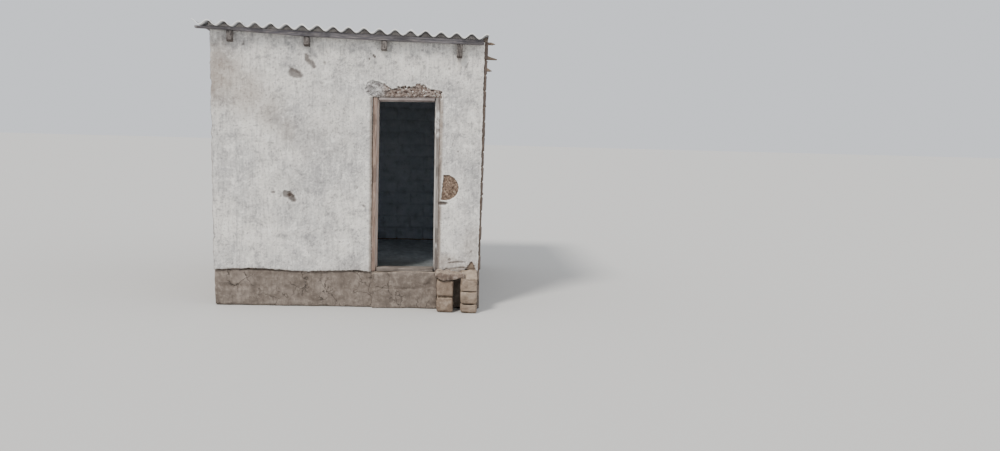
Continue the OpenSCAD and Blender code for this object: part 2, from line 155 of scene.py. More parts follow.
def lattice(cell, seed):
    """One fixed random number from -1 to 1 for each whole-number point"""
    i, j, k = (cell[..., axis] * SPREAD[axis] for axis in range(3))
    n = i ^ j ^ k ^ seed * SEED_SPREAD
    n = (n ^ (n >> 13)) * SCRAMBLE[0] & WHOLE_WORD
    n = (n ^ (n >> 15)) * SCRAMBLE[1] & WHOLE_WORD
    n ^= n >> 16
    return (n & 0xFFFFFF) / 0x7FFFFF - 1.0


def noise(points, size, seed):
    """Smooth noise from -1 to 1 whose lumps are about size metres, or a size along each axis"""
    place = np.asarray(points, float) / size
    cell = np.floor(place).astype(np.int64)
    f = place - cell
    f = f * f * (3 - 2 * f)
    total = 0.0
    for corner in range(8):
        offset = np.array([corner & 1, corner >> 1 & 1, corner >> 2])
        weight = np.prod(np.where(offset == 1, f, 1 - f), axis=-1)
        total = total + weight * lattice(cell + offset, seed)
    return total


def rough(points, size, seed, octaves=3):
    """Noise with finer and finer lumps on it, about -1 to 1"""
    layers = [0.5 ** k * noise(points, np.asarray(size) / 2 ** k, seed + k) for k in range(octaves)]
    return sum(layers) / 1.5


def smooth(value, low, high):
    """0 below low, 1 above high, with a soft ramp between; low may be the higher one"""
    t = np.clip((value - low) / (high - low), 0, 1)
    return t * t * (3 - 2 * t)


def band(value, place, wide, narrow):
    """1 where value is within narrow of place, fading to 0 at wide"""
    return smooth(np.abs(value - place), wide, narrow)


def highest(*marks):
    """The strongest of several marks at each point"""
    return np.maximum.reduce(marks)


# Meshes


def add_piece(name, points, faces, materials, nodes, marks=None, face_material=None):
    """Makes one mesh piece that rides on the building and stands for CAD nodes; marks are for materials"""
    mesh = bpy.data.meshes.new(name)
    mesh.from_pydata(np.asarray(points).tolist(), [], [list(f) for f in faces])
    for key, values in (marks or {}).items():
        mesh.attributes.new(key, "FLOAT", "POINT").data.foreach_set("value", np.asarray(values, np.float32))
    for material in materials:
        mesh.materials.append(material)
    if face_material is not None:
        mesh.polygons.foreach_set("material_index", np.asarray(face_material, np.int32))
    mesh.shade_smooth()
    mesh.update()
    piece = bpy.data.objects.new(name, mesh)
    bpy.context.scene.collection.objects.link(piece)
    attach(piece, "root")
    if nodes:
        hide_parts(*nodes)
    return piece


def opened(piece):
    """The piece's mesh, open for changes"""
    bm = bmesh.new()
    bm.from_mesh(piece.data)
    return bm


def put_back(bm, piece):
    """Writes a changed mesh back to its piece"""
    bm.to_mesh(piece.data)
    bm.free()


def oriented(piece):
    """Makes all faces look outwards"""
    bm = opened(piece)
    bmesh.ops.recalc_face_normals(bm, faces=bm.faces)
    put_back(bm, piece)
    return piece


def joined(parts):
    """Several meshes, each as points and faces, as one"""
    faces = []
    start = 0
    for points, part in parts:
        shifted = part + start if isinstance(part, np.ndarray) else [[v + start for v in f] for f in part]
        faces += list(shifted)
        start += len(points)
    return np.concatenate([points for points, _ in parts]), faces


def box_surface(lines_x, lines_y, lines_z):
    """Points and faces of a closed box with grid lines at the given places along each axis"""
    lines = (np.asarray(lines_x), np.asarray(lines_y), np.asarray(lines_z))
    shape = tuple(len(line) for line in lines)
    surface = np.ones(shape, bool)
    surface[1:-1, 1:-1, 1:-1] = False
    index = np.full(shape, -1)
    index[surface] = np.arange(surface.sum())
    points = np.stack([line[i] for line, i in zip(lines, np.nonzero(surface))], -1)
    faces = []
    for axis in range(3):
        layers = np.moveaxis(index, axis, 0)
        for side in (0, -1):
            g = layers[side]
            quads = np.stack([g[:-1, :-1], g[1:, :-1], g[1:, 1:], g[:-1, 1:]], -1).reshape(-1, 4)
            outward = (side == -1) != (axis == 1)
            faces.append(quads if outward else quads[:, ::-1])
    return points, np.concatenate(faces)


def lines_between(low, high, step, radius):
    """Grid lines from low to high about step apart, with one close line beside each rounded edge"""
    cells = max(2, round((high - low - 2 * radius) / step) + 1)
    inner = np.linspace(low + radius, high - radius, cells)
    between = [0.4 * radius] if radius > 0.014 else []
    return np.concatenate([[low], [low + b for b in between], inner, [high - b for b in between], [high]])


def rounded(points, low, high, radius):
    """Where box-surface points lie inside, and the way out from there, for rounding the box's edges"""
    inner = np.clip(points, low + radius, high - radius)
    out = points - inner
    return inner, out / np.linalg.norm(out, axis=-1, keepdims=True)


def on_edge(out):
    """True where the way out of a rounded box is square to none of its sides"""
    return np.abs(out).max(-1) < 0.95


def spaced(*stops, end):
    """Grid lines from stop to stop and on to the end; a stop is a place and the step that follows it"""
    lines = [stops[0][0]]
    for (start, step), stop in zip(stops, [place for place, _ in stops[1:]] + [end]):
        lines += list(np.linspace(start, stop, max(1, round((stop - start) / step)) + 1)[1:])
    return np.array(lines)


# Materials


class Paint:
    """Builds one procedural material, placed by the object's own coordinates in metres"""

    def __init__(self, name):
        self.material = bpy.data.materials.new(name)
        self.material.use_nodes = True
        self.tree = self.material.node_tree
        self.shader = next(n for n in self.tree.nodes if n.type == "BSDF_PRINCIPLED")
        self.place = self.add("ShaderNodeTexCoord").outputs["Object"]

    def add(self, kind, inputs=(), **settings):
        """A node with its settings, and inputs as (socket, value or output) pairs"""
        node = self.tree.nodes.new(kind)
        for key, value in settings.items():
            setattr(node, key, value)
        for socket, value in inputs:
            self.feed(node.inputs[socket], value)
        return node

    def feed(self, socket, value):
        """Links an output to the socket, or sets a plain value on it"""
        if isinstance(value, bpy.types.NodeSocket):
            self.tree.links.new(value, socket)
        else:
            socket.default_value = value

    def stretched(self, stretch, turn=(0, 0, 0)):
        """The place, stretched along each axis and turned in radians"""
        mapping = self.add("ShaderNodeMapping", [("Vector", self.place), ("Rotation", turn)])
        shrunk = tuple(1 / s for s in stretch)
        return self.add("ShaderNodeMapping", [("Vector", mapping.outputs[0]), ("Scale", shrunk)]).outputs[0]

    def noise(self, size, detail=4.0, roughness=0.6, stretch=None, turn=(0, 0, 0)):
        """Noise from 0 to 1 with lumps of about size metres"""
        place = self.stretched(stretch, turn) if stretch else self.place
        return self.add("ShaderNodeTexNoise", [
            ("Vector", place), ("Scale", 1 / size), ("Detail", detail), ("Roughness", roughness)
        ]).outputs["Fac"]

    def cells(self, size):
        """Distance to the nearest of scattered points about size metres apart"""
        return self.add("ShaderNodeTexVoronoi", [("Vector", self.place), ("Scale", 1 / size)]).outputs[0]

    def mark(self, name):
        """A mark that the mesh carries"""
        return self.add("ShaderNodeAttribute", attribute_name=name).outputs["Fac"]

    def ramp(self, value, low, high, to=1.0, start=0.0):
        """start where value is under low, to where it is over high"""
        return self.add("ShaderNodeMapRange", [
            (0, value), (1, low), (2, high), (3, start), (4, to)
        ], interpolation_type="SMOOTHSTEP").outputs[0]

    def math(self, operation, a, b):
        """What a Math node makes of two values"""
        return self.add("ShaderNodeMath", [(0, a), (1, b)], operation=operation).outputs[0]

    def both(self, a, b):
        """Product of two values: high only where both are"""
        return self.math("MULTIPLY", a, b)

    def axis(self, name):
        """The X, Y or Z of the place, in metres"""
        return self.add("ShaderNodeSeparateXYZ", [(0, self.place)]).outputs[name]

    def blend(self, factor, a, b, mode="MIX"):
        """Colour a, going to b where factor is 1"""
        return self.add("ShaderNodeMix", [
            (0, factor), (6, colour(a)), (7, colour(b))
        ], data_type="RGBA", blend_type=mode).outputs[2]

    def cover(self, base, layers):
        """Lays colours over base in turn: (value, where none shows, where most shows, most, colour)"""
        for value, none, full, most, tint in layers:
            base = self.blend(self.ramp(value, none, full, most), base, tint)
        return base

    def bump(self, heights):
        """Bump from pairs of (height, depth in metres)"""
        total = None
        for height, depth in heights:
            part = self.math("MULTIPLY", height, depth)
            total = part if total is None else self.math("ADD", total, part)
        inputs = [("Height", total), ("Distance", 1.0), ("Strength", 1.0)]
        return self.add("ShaderNodeBump", inputs).outputs[0]

    def finish(self, base, roughness, bump):
        """Sets the shader and gives the finished material"""
        self.feed(self.shader.inputs["Base Color"], base)
        self.feed(self.shader.inputs["Roughness"], roughness)
        self.feed(self.shader.inputs["Normal"], bump)
        self.shader.inputs["Specular IOR Level"].default_value = 0.25
        return self.material


def colour(value):
    """A socket as it is, or an (r, g, b) screen colour from 0 to 255 as the linear colour"""
    if isinstance(value, bpy.types.NodeSocket):
        return value
    share = [v / 255 for v in value]
    return (*[s / 12.92 if s < 0.04 else ((s + 0.055) / 1.055) ** 2.4 for s in share], 1.0)


def scaled(tint, share):
    """A screen colour times a share"""
    return tuple(share * c for c in tint)


MUD_DARK, MUD_MID, MUD_LIGHT = (118, 102, 88), (144, 128, 113), (168, 153, 138)
STRAW = (182, 168, 146)


def straw_flecks(p):
    """Thin straw-like flecks lying two ways, 0 to 1"""
    one = p.noise(0.0035, 2.0, 0.5, (1, 1, 9), (0.3, 0.5, 0.2))
    two = p.noise(0.0035, 2.0, 0.5, (9, 1, 1), (0.2, 0.4, 0.7))
    return p.math("MAXIMUM", p.ramp(one, 0.66, 0.74), p.ramp(two, 0.67, 0.75))


def mud_colours(p, dark=MUD_DARK, mid=MUD_MID, light=MUD_LIGHT, straw=STRAW):
    """Mottled mud with pits and straw: its colour, and its bump heights"""
    broad = p.noise(0.30, 4.0, 0.6)
    patches = p.noise(0.075, 5.0, 0.68)
    lumps = p.noise(0.030, 6.0, 0.72)
    grit = p.noise(0.005, 3.0, 0.7)
    flecks = straw_flecks(p)
    pits = p.ramp(p.cells(0.030), 0.06, 0.16, 0.0, 1.0)
    holes = p.both(pits, p.ramp(patches, 0.50, 0.58))
    base = p.blend(p.ramp(broad, 0.35, 0.68), dark, mid)
    base = p.cover(base, [
        (patches, 0.48, 0.36, 0.55, scaled(dark, 0.86)),
        (patches, 0.52, 0.64, 0.45, light),
        (lumps, 0.50, 0.76, 0.70, light),
        (grit, 0.35, 0.25, 0.35, dark),
    ])
    base = p.blend(p.both(flecks, 0.15), base, straw)
    base = p.blend(p.both(holes, 0.60), base, scaled(dark, 0.50))
    heights = [(patches, 0.010), (lumps, 0.008), (grit, 0.0015), (flecks, 0.0006), (holes, -0.003)]
    return base, heights


def dusty(p, base):
    """Adds pale dust on what faces up"""
    up = p.add("ShaderNodeNewGeometry").outputs["Normal"]
    facing = p.add("ShaderNodeSeparateXYZ", [(0, up)]).outputs["Z"]
    amount = p.both(p.ramp(facing, 0.45, 0.95, 0.45), p.ramp(p.noise(0.06, 4.0), 0.30, 0.60))
    return p.blend(amount, base, (186, 170, 150))


def adobe_material():
    """Adobe bricks, each a little lighter, darker or redder than the next, with painted shade on the bare
    strips at the front's ends
    """
    p = Paint("adobe")
    base, heights = mud_colours(p)
    tone = p.mark("tone")
    base = p.cover(base, [
        (tone, 0.0, 1.0, 0.30, (128, 110, 96)),
        # tones from 1 to 2: painted shade on the bare strips at the front's ends
        (tone, 1.0, 2.0, 0.80, (84, 75, 72)),
        (tone, 0.0, -1.0, 0.25, (194, 178, 158)),
    ])
    return p.finish(dusty(p, base), 0.92, p.bump(heights))


def inner_adobe_material():
    """Adobe inside the room, pale bluish grey: painted light that brightens the dim room and tints it like
    sky-lit shade
    """
    p = Paint("adobe_inside")
    base, heights = mud_colours(p, (168, 177, 188), (180, 188, 198), (190, 197, 206), (194, 200, 207))
    return p.finish(base, 0.95, p.bump(heights))


def mud_material(name, dark, mid, light):
    """Plain mud: mortar, and the step's slab"""
    p = Paint(name)
    base, heights = mud_colours(p, dark, mid, light)
    return p.finish(dusty(p, base), 0.95, p.bump(heights))


def cracked_mud_material(dark, mid, light):
    """Rain-washed mud with a net of thin cracks"""
    p = Paint("rough_mud")
    base, heights = mud_colours(p, dark, mid, light)
    wander = p.add("ShaderNodeTexNoise", [
        ("Vector", p.place), ("Scale", 9.0), ("Detail", 4.0)
    ]).outputs["Color"]
    place = p.add("ShaderNodeMix", [(0, 0.14), (4, p.place), (5, wander)], data_type="VECTOR").outputs[1]
    net = p.add("ShaderNodeTexVoronoi", [
        ("Vector", place), ("Scale", 7.0)
    ], feature="DISTANCE_TO_EDGE").outputs[0]
    open_cracks = p.both(p.ramp(net, 0.022, 0.006), p.ramp(p.noise(0.22, 4.0), 0.46, 0.56))
    streaks = p.noise(0.030, 4.0, 0.65, (1, 1, 6))
    base = p.cover(base, [(streaks, 0.50, 0.66, 0.40, scaled(dark, 0.84))])
    base = p.blend(p.both(open_cracks, 0.75), base, scaled(dark, 0.52))
    heights.append((open_cracks, -0.004))
    return p.finish(dusty(p, base), 0.95, p.bump(heights))


def earth_material():
    """Packed earth in pale bluish grey, darker by the doorway and paler further in: painted light that evens
    out the light coming through the doorway
    """
    p = Paint("packed_earth")
    base, heights = mud_colours(p, (178, 186, 192), (204, 211, 216), (226, 231, 234), (226, 231, 234))
    # Painted light: darker by the doorway and paler further into the room
    painted_light_ramp = p.ramp(p.axis("Y"), Y_ROOM + 0.9, Y_ROOM + 0.1, 0.85)
    base = p.blend(painted_light_ramp, base, (96, 99, 96))
    return p.finish(base, 0.95, p.bump(heights))


def rubble_colours(p):
    """Where the plaster is off: lime crumbs and dark hollows over the door, straw in the round patch"""
    lumps = p.noise(0.026, 4.0, 0.65)
    streaks = p.noise(0.010, 3.0, 0.7, (1, 1, 5), (0.0, 0.45, 0.0))
    bits = p.both(p.ramp(p.cells(0.024), 0.38, 0.26), p.ramp(p.noise(0.06, 4.0, 0.7), 0.45, 0.55))
    hollows = p.ramp(p.noise(0.022, 3.0, 0.6, (1.6, 1, 1)), 0.46, 0.38)
    above = p.blend(p.ramp(lumps, 0.40, 0.60), (112, 97, 89), (160, 146, 137))
    above = p.blend(bits, above, (222, 218, 211))
    above = p.blend(p.both(hollows, 0.88), above, (66, 54, 49))
    flecks = p.ramp(p.noise(0.024, 3.0, 0.6, (1.4, 1, 1)), 0.43, 0.37)
    greyed = p.blend(p.ramp(lumps, 0.42, 0.58), (146, 142, 141), (206, 203, 200))
    greyed = p.blend(p.both(flecks, 0.8), greyed, (84, 78, 76))
    above = p.blend(p.mark("grey"), above, greyed)
    patch = p.blend(p.ramp(streaks, 0.36, 0.56), (92, 75, 63), (142, 121, 105))
    patch = p.cover(patch, [(streaks, 0.58, 0.68, 0.9, (190, 174, 156))])
    patch = p.blend(p.both(hollows, 0.35), patch, (84, 68, 58))
    heights = [(lumps, 0.012), (streaks, 0.006), (hollows, -0.010), (bits, 0.005)]
    return p.blend(p.mark("limy"), patch, above), heights


def plaster_material():
    """Thin lime plaster over mud: mottled, stained and scuffed, with bare mud where the mesh says so"""
    p = Paint("lime_plaster")
    broad = p.noise(0.60, 4.0, 0.6)
    cloud = p.noise(0.11, 7.0, 0.80)
    fine = p.noise(0.024, 5.0, 0.75)
    grit = p.noise(0.0035, 3.0, 0.7)
    strokes = p.noise(0.018, 4.0, 0.7, (5, 1, 1), (0.0, 0.6, 0.0))
    drips = p.noise(0.026, 5.0, 0.70, (1, 1, 8))
    base = p.blend(p.ramp(broad, 0.34, 0.66), (186, 184, 182), (224, 220, 213))
    base = p.cover(base, [
        (cloud, 0.50, 0.64, 0.80, (146, 144, 144)),
        (cloud, 0.48, 0.36, 0.80, (242, 239, 233)),
        (drips, 0.52, 0.66, 0.55, (150, 148, 147)),
        (drips, 0.46, 0.34, 0.45, (242, 239, 233)),
        (strokes, 0.54, 0.66, 0.55, (234, 231, 225)),
        (fine, 0.54, 0.66, 0.72, (124, 121, 119)),
        (fine, 0.44, 0.34, 0.60, (244, 241, 235)),
    ])
    specks = p.both(p.ramp(p.cells(0.050), 0.085, 0.060, 0.8), p.ramp(cloud, 0.40, 0.56))
    base = p.blend(specks, base, (110, 103, 97))
    patchy = p.ramp(cloud, 0.30, 0.62, 1.0, 0.72)
    base = p.blend(p.both(p.mark("stain"), patchy), base, (140, 125, 112))
    base = p.blend(p.both(p.mark("grey_stain"), patchy), base, (122, 119, 118))
    base = p.blend(p.both(p.mark("pale"), 0.85), base, (236, 233, 227))
    rubble, rubble_heights = rubble_colours(p)
    bare = p.ramp(p.math("ADD", p.mark("bare"), p.ramp(fine, 0.3, 0.7, 0.12, -0.12)), 0.40, 0.60)
    base = p.blend(bare, base, rubble)
    # Dark mark: pits and scars, darkened partly as painted shade in them; painted shade in the gaps over the
    # frame's head and beside the right jamb; and the crack along the smear
    base = p.blend(p.both(p.mark("dark"), 0.9), base, (68, 56, 50))
    heights = [(strokes, 0.0040), (cloud, 0.012), (fine, 0.0060), (grit, 0.0006), (specks, -0.002)]
    for height, depth in rubble_heights:
        heights.append((p.both(height, bare), depth))
    return p.finish(base, 0.88, p.bump(heights))


def wood_material(name, along, dark, mid, light, paint=(206, 206, 206)):
    """Weathered timber with its grain along the axis; marks for worn paint, pale wood (partly a painted
    highlight), darkening (partly painted shade) and cut ends
    """
    p = Paint(name)
    is_along = [axis == along for axis in "XYZ"]
    stretch = tuple(28 if here else 1 for here in is_along)
    grain = p.noise(0.0045, 4.0, 0.7, stretch)
    bands = p.noise(0.018, 4.0, 0.6, stretch)
    blotch = p.noise(0.30, 4.0, 0.65)
    splits = p.ramp(p.noise(0.008, 2.0, 0.5, tuple(2.2 * s if s > 1 else 1 for s in stretch)), 0.67, 0.74)
    base = p.blend(p.ramp(bands, 0.38, 0.64), dark, mid)
    base = p.cover(base, [
        (grain, 0.46, 0.66, 0.8, light),
        (blotch, 0.50, 0.60, 0.55, scaled(dark, 0.72)),
    ])
    # Pale mark: paler wood, and a painted highlight in the jambs' rebates
    base = p.blend(p.both(p.mark("pale"), 0.75), base, scaled(light, 1.06))
    flakes = p.noise(0.07, 6.0, 0.75, tuple(2.5 if here else 1 for here in is_along))
    left_on = p.both(p.ramp(flakes, 0.42, 0.50), p.ramp(grain, 0.64, 0.52))
    base = p.blend(p.both(left_on, p.mark("painted")), base, paint)
    base = p.blend(p.both(splits, 0.8), base, scaled(dark, 0.35))
    cracks = p.both(p.ramp(p.noise(0.010, 3.0, 0.6, (1, 1, 7)), 0.52, 0.60), p.mark("cut"))
    base = p.blend(p.both(p.mark("cut"), p.ramp(bands, 0.3, 0.7, 0.5)), base, light)
    base = p.blend(p.both(cracks, 0.55), base, scaled(dark, 0.45))
    # Dark mark: painted shade under the rafters and along the right jamb's outer edge, and darker parts of
    # the frame
    base = p.blend(p.both(p.mark("dark"), 0.85), base, (58, 47, 42))
    heights = [(grain, 0.0012), (bands, 0.002), (splits, -0.0025), (cracks, -0.004)]
    return p.finish(base, 0.85, p.bump(heights))


def sheet_material():
    """Asbestos cement: grey, streaked down the slope, dirty in the troughs, pale along its cut edges, partly
    as a painted highlight of the lit edge
    """
    p = Paint("asbestos_cement")
    streaks = p.noise(0.020, 5.0, 0.65, (1, 22, 1))
    blotch = p.noise(0.10, 6.0, 0.7)
    grit = p.noise(0.004, 3.0, 0.7)
    base = p.blend(p.ramp(blotch, 0.35, 0.65), (140, 142, 146), (172, 174, 177))
    base = p.cover(base, [(streaks, 0.50, 0.72, 0.65, (108, 107, 109))])
    base = p.blend(p.both(p.mark("trough"), p.ramp(blotch, 0.3, 0.6, 0.55)), base, (100, 94, 88))
    lichen = p.both(p.ramp(p.cells(0.035), 0.30, 0.18), p.ramp(p.noise(0.35, 3.0), 0.50, 0.60))
    base = p.blend(p.both(lichen, 0.6), base, (128, 124, 92))
    dots = p.ramp(p.noise(0.009, 4.0, 0.7), 0.63, 0.70)
    base = p.blend(p.both(dots, 0.6), base, (74, 73, 74))
    # Rim mark: the paler cut ends, widened into a painted highlight of the lit edge
    base = p.blend(p.both(p.mark("rim"), p.ramp(blotch, 0.10, 0.45, 1.0, 0.5)), base, (244, 244, 242))
    return p.finish(base, 0.86, p.bump([(blotch, 0.002), (grit, 0.0008), (streaks, 0.0006)]))


def nail_material():
    """Rusty iron"""
    p = Paint("rusty_nail")
    patches = p.noise(0.006, 4.0, 0.7)
    base = p.blend(p.ramp(patches, 0.40, 0.62), (70, 46, 34), (122, 84, 58))
    p.shader.inputs["Metallic"].default_value = 0.3
    return p.finish(base, 0.75, p.bump([(patches, 0.0006)]))


def floor_material():
    """Plain pale studio floor"""
    p = Paint("studio_floor")
    return p.finish(colour((196, 195, 192)), 0.95, p.bump([(p.noise(0.02, 2.0), 0.0002)]))


# Plaster


BREAK_H = 0.117         # depth of the plaster broken off above the frame
BREAK_EDGE = [          # shares of the frame's width and of the break's depth
    (-0.09, -0.10), (-0.105, 0.37), (-0.07, 0.85), (0.01, 1.00), (0.11, 0.88), (0.21, 0.62),
    (0.31, 0.38), (0.40, 0.52), (0.55, 0.63), (0.66, 0.79), (0.76, 0.75), (0.81, 0.46),
    (0.98, 0.37), (1.04, 0.21), (1.01, 0.05)
]
PATCH = (FRAME_R + 0.060, PLINTH_H + SILL_T + 0.842)    # middle of the round patch
PATCH_R = 0.131
PATCH_FLAT = 0.034      # from its middle to its straight left side
OVER_PATCH = PATCH[1] + 0.3     # a height between the patch and the break above the frame
PLASTER_END = 0.024     # how far the plaster stops short of the wall's right end
LAP_L = 0.004           # how far the plaster laps over the left jamb
LAP_R = 0.010
# Foot of the plaster left and right of the doorway: shares of its width, heights over the plinth
FOOT_LEFT = [(0, -0.006), (0.27, 0.014), (0.57, -0.012), (0.92, 0.008), (1, -0.004)]
FOOT_RIGHT = [
    (0, 0.024), (0.12, 0.022), (0.19, 0.042), (0.30, 0.054), (0.64, 0.064), (0.707, 0.050),
    (0.841, 0.120), (0.966, 0.010), (1, 0.008)
]
# The thin mud that is left below the plaster on the right ends lower
FOOT_SMEAR = [
    (0, 0.004), (0.30, 0.006), (0.64, 0.012), (0.707, 0.042), (0.841, 0.120), (0.966, 0.010),
    (1, 0.008)
]
# Pits and scars: right of the left end, above the plinth, half length, half width, turn in
# degrees, depth, how dark (partly painted shade in the pit), how pale the rim
SCARS = [
    (0.763, 0.774, 0.019, 0.020, 10, 0.012, 1.10, 0.0),
    (0.764, 0.797, 0.024, 0.013, -12, 0.010, 0.96, 0.6),
    (0.728, 0.782, 0.032, 0.038, 12, 0.009, 0.84, 0.9),
    (0.791, 0.742, 0.046, 0.035, -40, 0.009, 0.88, 0.9),
    (0.799, 0.766, 0.036, 0.013, -50, 0.012, 1.00, 0.3),
    (0.741, 0.701, 0.009, 0.008, 0, 0.006, 0.75, 0.5),
    (0.679, 0.760, 0.008, 0.010, 0, 0.005, 0.60, 0.3),
    (0.825, 1.981, 0.074, 0.044, -15, 0.007, 0.78, 0.3),
    (0.828, 2.006, 0.064, 0.014, -30, 0.009, 0.90, 0.0),
    (0.940, 2.158, 0.032, 0.016, -42, 0.007, 0.80, 0.1),
    (0.948, 2.118, 0.030, 0.026, -60, 0.008, 0.84, 0.1),
    (0.967, 2.094, 0.028, 0.020, -40, 0.007, 0.76, 0.1),
    (0.994, 2.078, 0.056, 0.027, -55, 0.006, 0.74, 0.2),
    (1.010, 2.048, 0.020, 0.017, -50, 0.008, 0.86, 0.1),
    (1.020, 1.957, 0.016, 0.013, 30, 0.004, 0.40, 0.0),
    (1.086, 1.894, 0.014, 0.012, 0, 0.004, 0.42, 0.0),
    (0.325, 2.259, 0.024, 0.010, 80, 0.007, 0.60, 0.2),
    (1.120, 2.090, 0.018, 0.014, -60, 0.005, 0.62, 0.1),
    (1.602, 2.174, 0.022, 0.013, -50, 0.009, 0.85, 0.2),
    (1.556, 2.143, 0.016, 0.008, 70, 0.007, 0.75, 0.1),
    (1.570, 2.200, 0.012, 0.007, -40, 0.006, 0.60, 0.1),
    (1.820, 2.120, 0.012, 0.008, 0, 0.004, 0.45, 0.1),
    (1.990, 1.960, 0.010, 0.024, 0, 0.004, 0.35, 0.1),
    (2.079, 2.246, 0.012, 0.008, 0, 0.006, 0.60, 0.0),
    (2.350, 2.070, 0.012, 0.010, 0, 0.004, 0.45, 0.1),
    (2.525, 2.110, 0.062, 0.005, 66, 0.005, 0.55, 0.2),
    (2.470, 2.085, 0.009, 0.008, 0, 0.006, 0.55, 0.0),
    (2.454, 1.256, 0.011, 0.009, 0, 0.007, 0.80, 0.3),
    (2.397, 1.322, 0.008, 0.022, 0, 0.005, 0.30, 0.9),
    (1.508, 0.676, 0.018, 0.011, -30, 0.007, 0.65, 0.2),
    (1.480, 0.706, 0.010, 0.006, -60, 0.005, 0.55, 0.0),
    (1.436, 0.867, 0.014, 0.022, 0, 0.004, 0.35, 0.1),
    (0.604, 0.796, 0.017, 0.008, 0, 0.006, 0.95, 0.2),
    (0.441, 1.305, 0.012, 0.010, 20, 0.005, 0.45, 0.1),
    (2.302, 0.720, 0.060, 0.017, 4, 0.014, 1.00, 0.9),
    (2.610, 0.230, 0.016, 0.010, 30, 0.006, 0.50, 0.2),
    (2.462, 0.113, 0.094, 0.009, 3, 0.007, 0.75, 0.3),
    (2.386, 0.139, 0.020, 0.014, 25, 0.007, 0.65, 0.2),
    (2.545, 0.026, 0.010, 0.010, 0, 0.007, 0.80, 0.1),
]
# Brown clouds: right of the left end, above the plinth, half width, half height, strength
STAINS = [
    (0.04, 1.96, 0.34, 0.36, 0.70), (0.34, 1.78, 0.26, 0.28, 0.50), (0.58, 1.60, 0.20, 0.22, 0.36),
    (0.74, 1.42, 0.13, 0.17, 0.36), (0.10, 2.22, 0.10, 0.14, 0.30), (2.45, 2.18, 0.03, 0.12, 0.45),
    (2.62, 0.30, 0.14, 0.22, 0.35), (2.30, 0.12, 0.26, 0.10, 0.60), (1.00, 1.35, 0.40, 0.35, 0.12),
]
# Grey clouds, the same way
GREY_STAINS = [
    (0.62, 1.52, 0.05, 0.05, 0.40), (0.72, 1.40, 0.04, 0.10, 0.30), (1.32, 1.50, 0.05, 0.34, 0.16),
    (0.97, 2.22, 0.05, 0.14, 0.30), (1.60, 2.12, 0.12, 0.12, 0.12), (0.80, 0.90, 0.30, 0.12, 0.14),
]


def right_edge(z):
    """Where the plaster ends on the right at height z"""
    return X_RIGHT + lean(z) - PLASTER_END - 0.010 * smooth(z, 0.5, EAVE_Z)


def off_frame(x):
    """How far x lies beside the part of the door frame that the plaster leaves free"""
    return np.maximum(FRAME_L + LAP_L - x, x - FRAME_R + LAP_R)


def foot_line(x, right_table=FOOT_RIGHT):
    """Height of the plaster's foot over x"""
    share_left = (x - X_LEFT) / (FRAME_L - X_LEFT)
    share_right = (x - FRAME_R) / (X_RIGHT - PLASTER_END - FRAME_R)
    left, right = np.interp(share_left, *zip(*FOOT_LEFT)), np.interp(share_right, *zip(*right_table))
    return PLINTH_H + np.where(x < (FRAME_L + FRAME_R) / 2, left, right)


def inside(x, z, outline):
    """Distance to an outline's nearest side, positive inside it"""
    nearest = np.full(x.shape, np.inf)
    within = np.zeros(x.shape, bool)
    for (ax, az), (bx, bz) in zip(outline, outline[1:] + outline[:1]):
        dx, dz = bx - ax, bz - az
        t = np.clip(((x - ax) * dx + (z - az) * dz) / (dx * dx + dz * dz), 0, 1)
        nearest = np.minimum(nearest, np.hypot(x - ax - t * dx, z - az - t * dz))
        crosses = (az > z) != (bz > z)
        with np.errstate(divide="ignore", invalid="ignore"):
            within ^= crosses & (x < ax + (z - az) * dx / dz)
    return np.where(within, nearest, -nearest)


def on_wall(x, z):
    """Points of the front as places for noise"""
    return np.stack([x, np.zeros_like(x), z], -1)


def across_frame(x):
    """Share of the frame's width at x, from its left side"""
    return (x - FRAME_L) / (FRAME_R - FRAME_L)


def head_line(x):
    """Top of the frame's head, over x"""
    return JAMB_TOP - HORN - HEAD_RISE * (1 - np.clip(across_frame(x), 0, 1))


def plaster_margin(x, z):
    """How far a point lies inside the coat of plaster and packed mud"""
    spot = on_wall(x, z)
    ragged = 0.006 * rough(spot, 0.055, 11) + 0.003 * noise(spot, 0.012, 12)
    left = x - X_LEFT - 0.002 + 0.009 * rough(spot, 0.055, 13)
    right = right_edge(z) - x
    worn_foot = 0.010 * rough(spot, 0.035, 14) * smooth(x, FRAME_R, FRAME_R + 0.05)
    foot = z - foot_line(x, FOOT_SMEAR) + worn_foot
    sides = np.minimum(np.minimum(left, right), foot) + ragged
    under = roof_z(x, Y_FACE, -0.004) - z
    over_head = z - head_line(x) + 0.006 + 0.9 * ragged
    beside = off_frame(x) + 0.4 * ragged
    return np.minimum(np.minimum(sides, under), np.maximum(over_head, beside))


def bare_margin(x, z):
    """How far a point lies inside the places where the plaster has come off"""
    spot = on_wall(x, z)
    ragged = 0.014 * rough(spot, 0.050, 21, 4) + 0.007 * noise(spot, 0.013, 24)
    width = FRAME_R - FRAME_L
    outline = [(FRAME_L + a * width, JAMB_TOP + b * BREAK_H) for a, b in BREAK_EDGE]
    outline += [(FRAME_R + 0.004, JAMB_TOP - 0.040), (FRAME_L - 0.026, JAMB_TOP - 0.040)]
    above_door = inside(x, z, outline) + ragged
    round_side = PATCH_R - np.hypot(x - PATCH[0], z - PATCH[1])
    flat_side = x - PATCH[0] + PATCH_FLAT - 0.07 * (z - PATCH[1])
    half_round = np.minimum(round_side, flat_side) + 0.3 * ragged
    beside_frame = 0.03 * smooth(x, FRAME_R + 0.02, FRAME_R)
    rotten = foot_line(x, FOOT_SMEAR) + 0.012 - z + 1.5 * ragged - beside_frame
    return np.maximum(np.maximum(above_door, half_round), rotten)


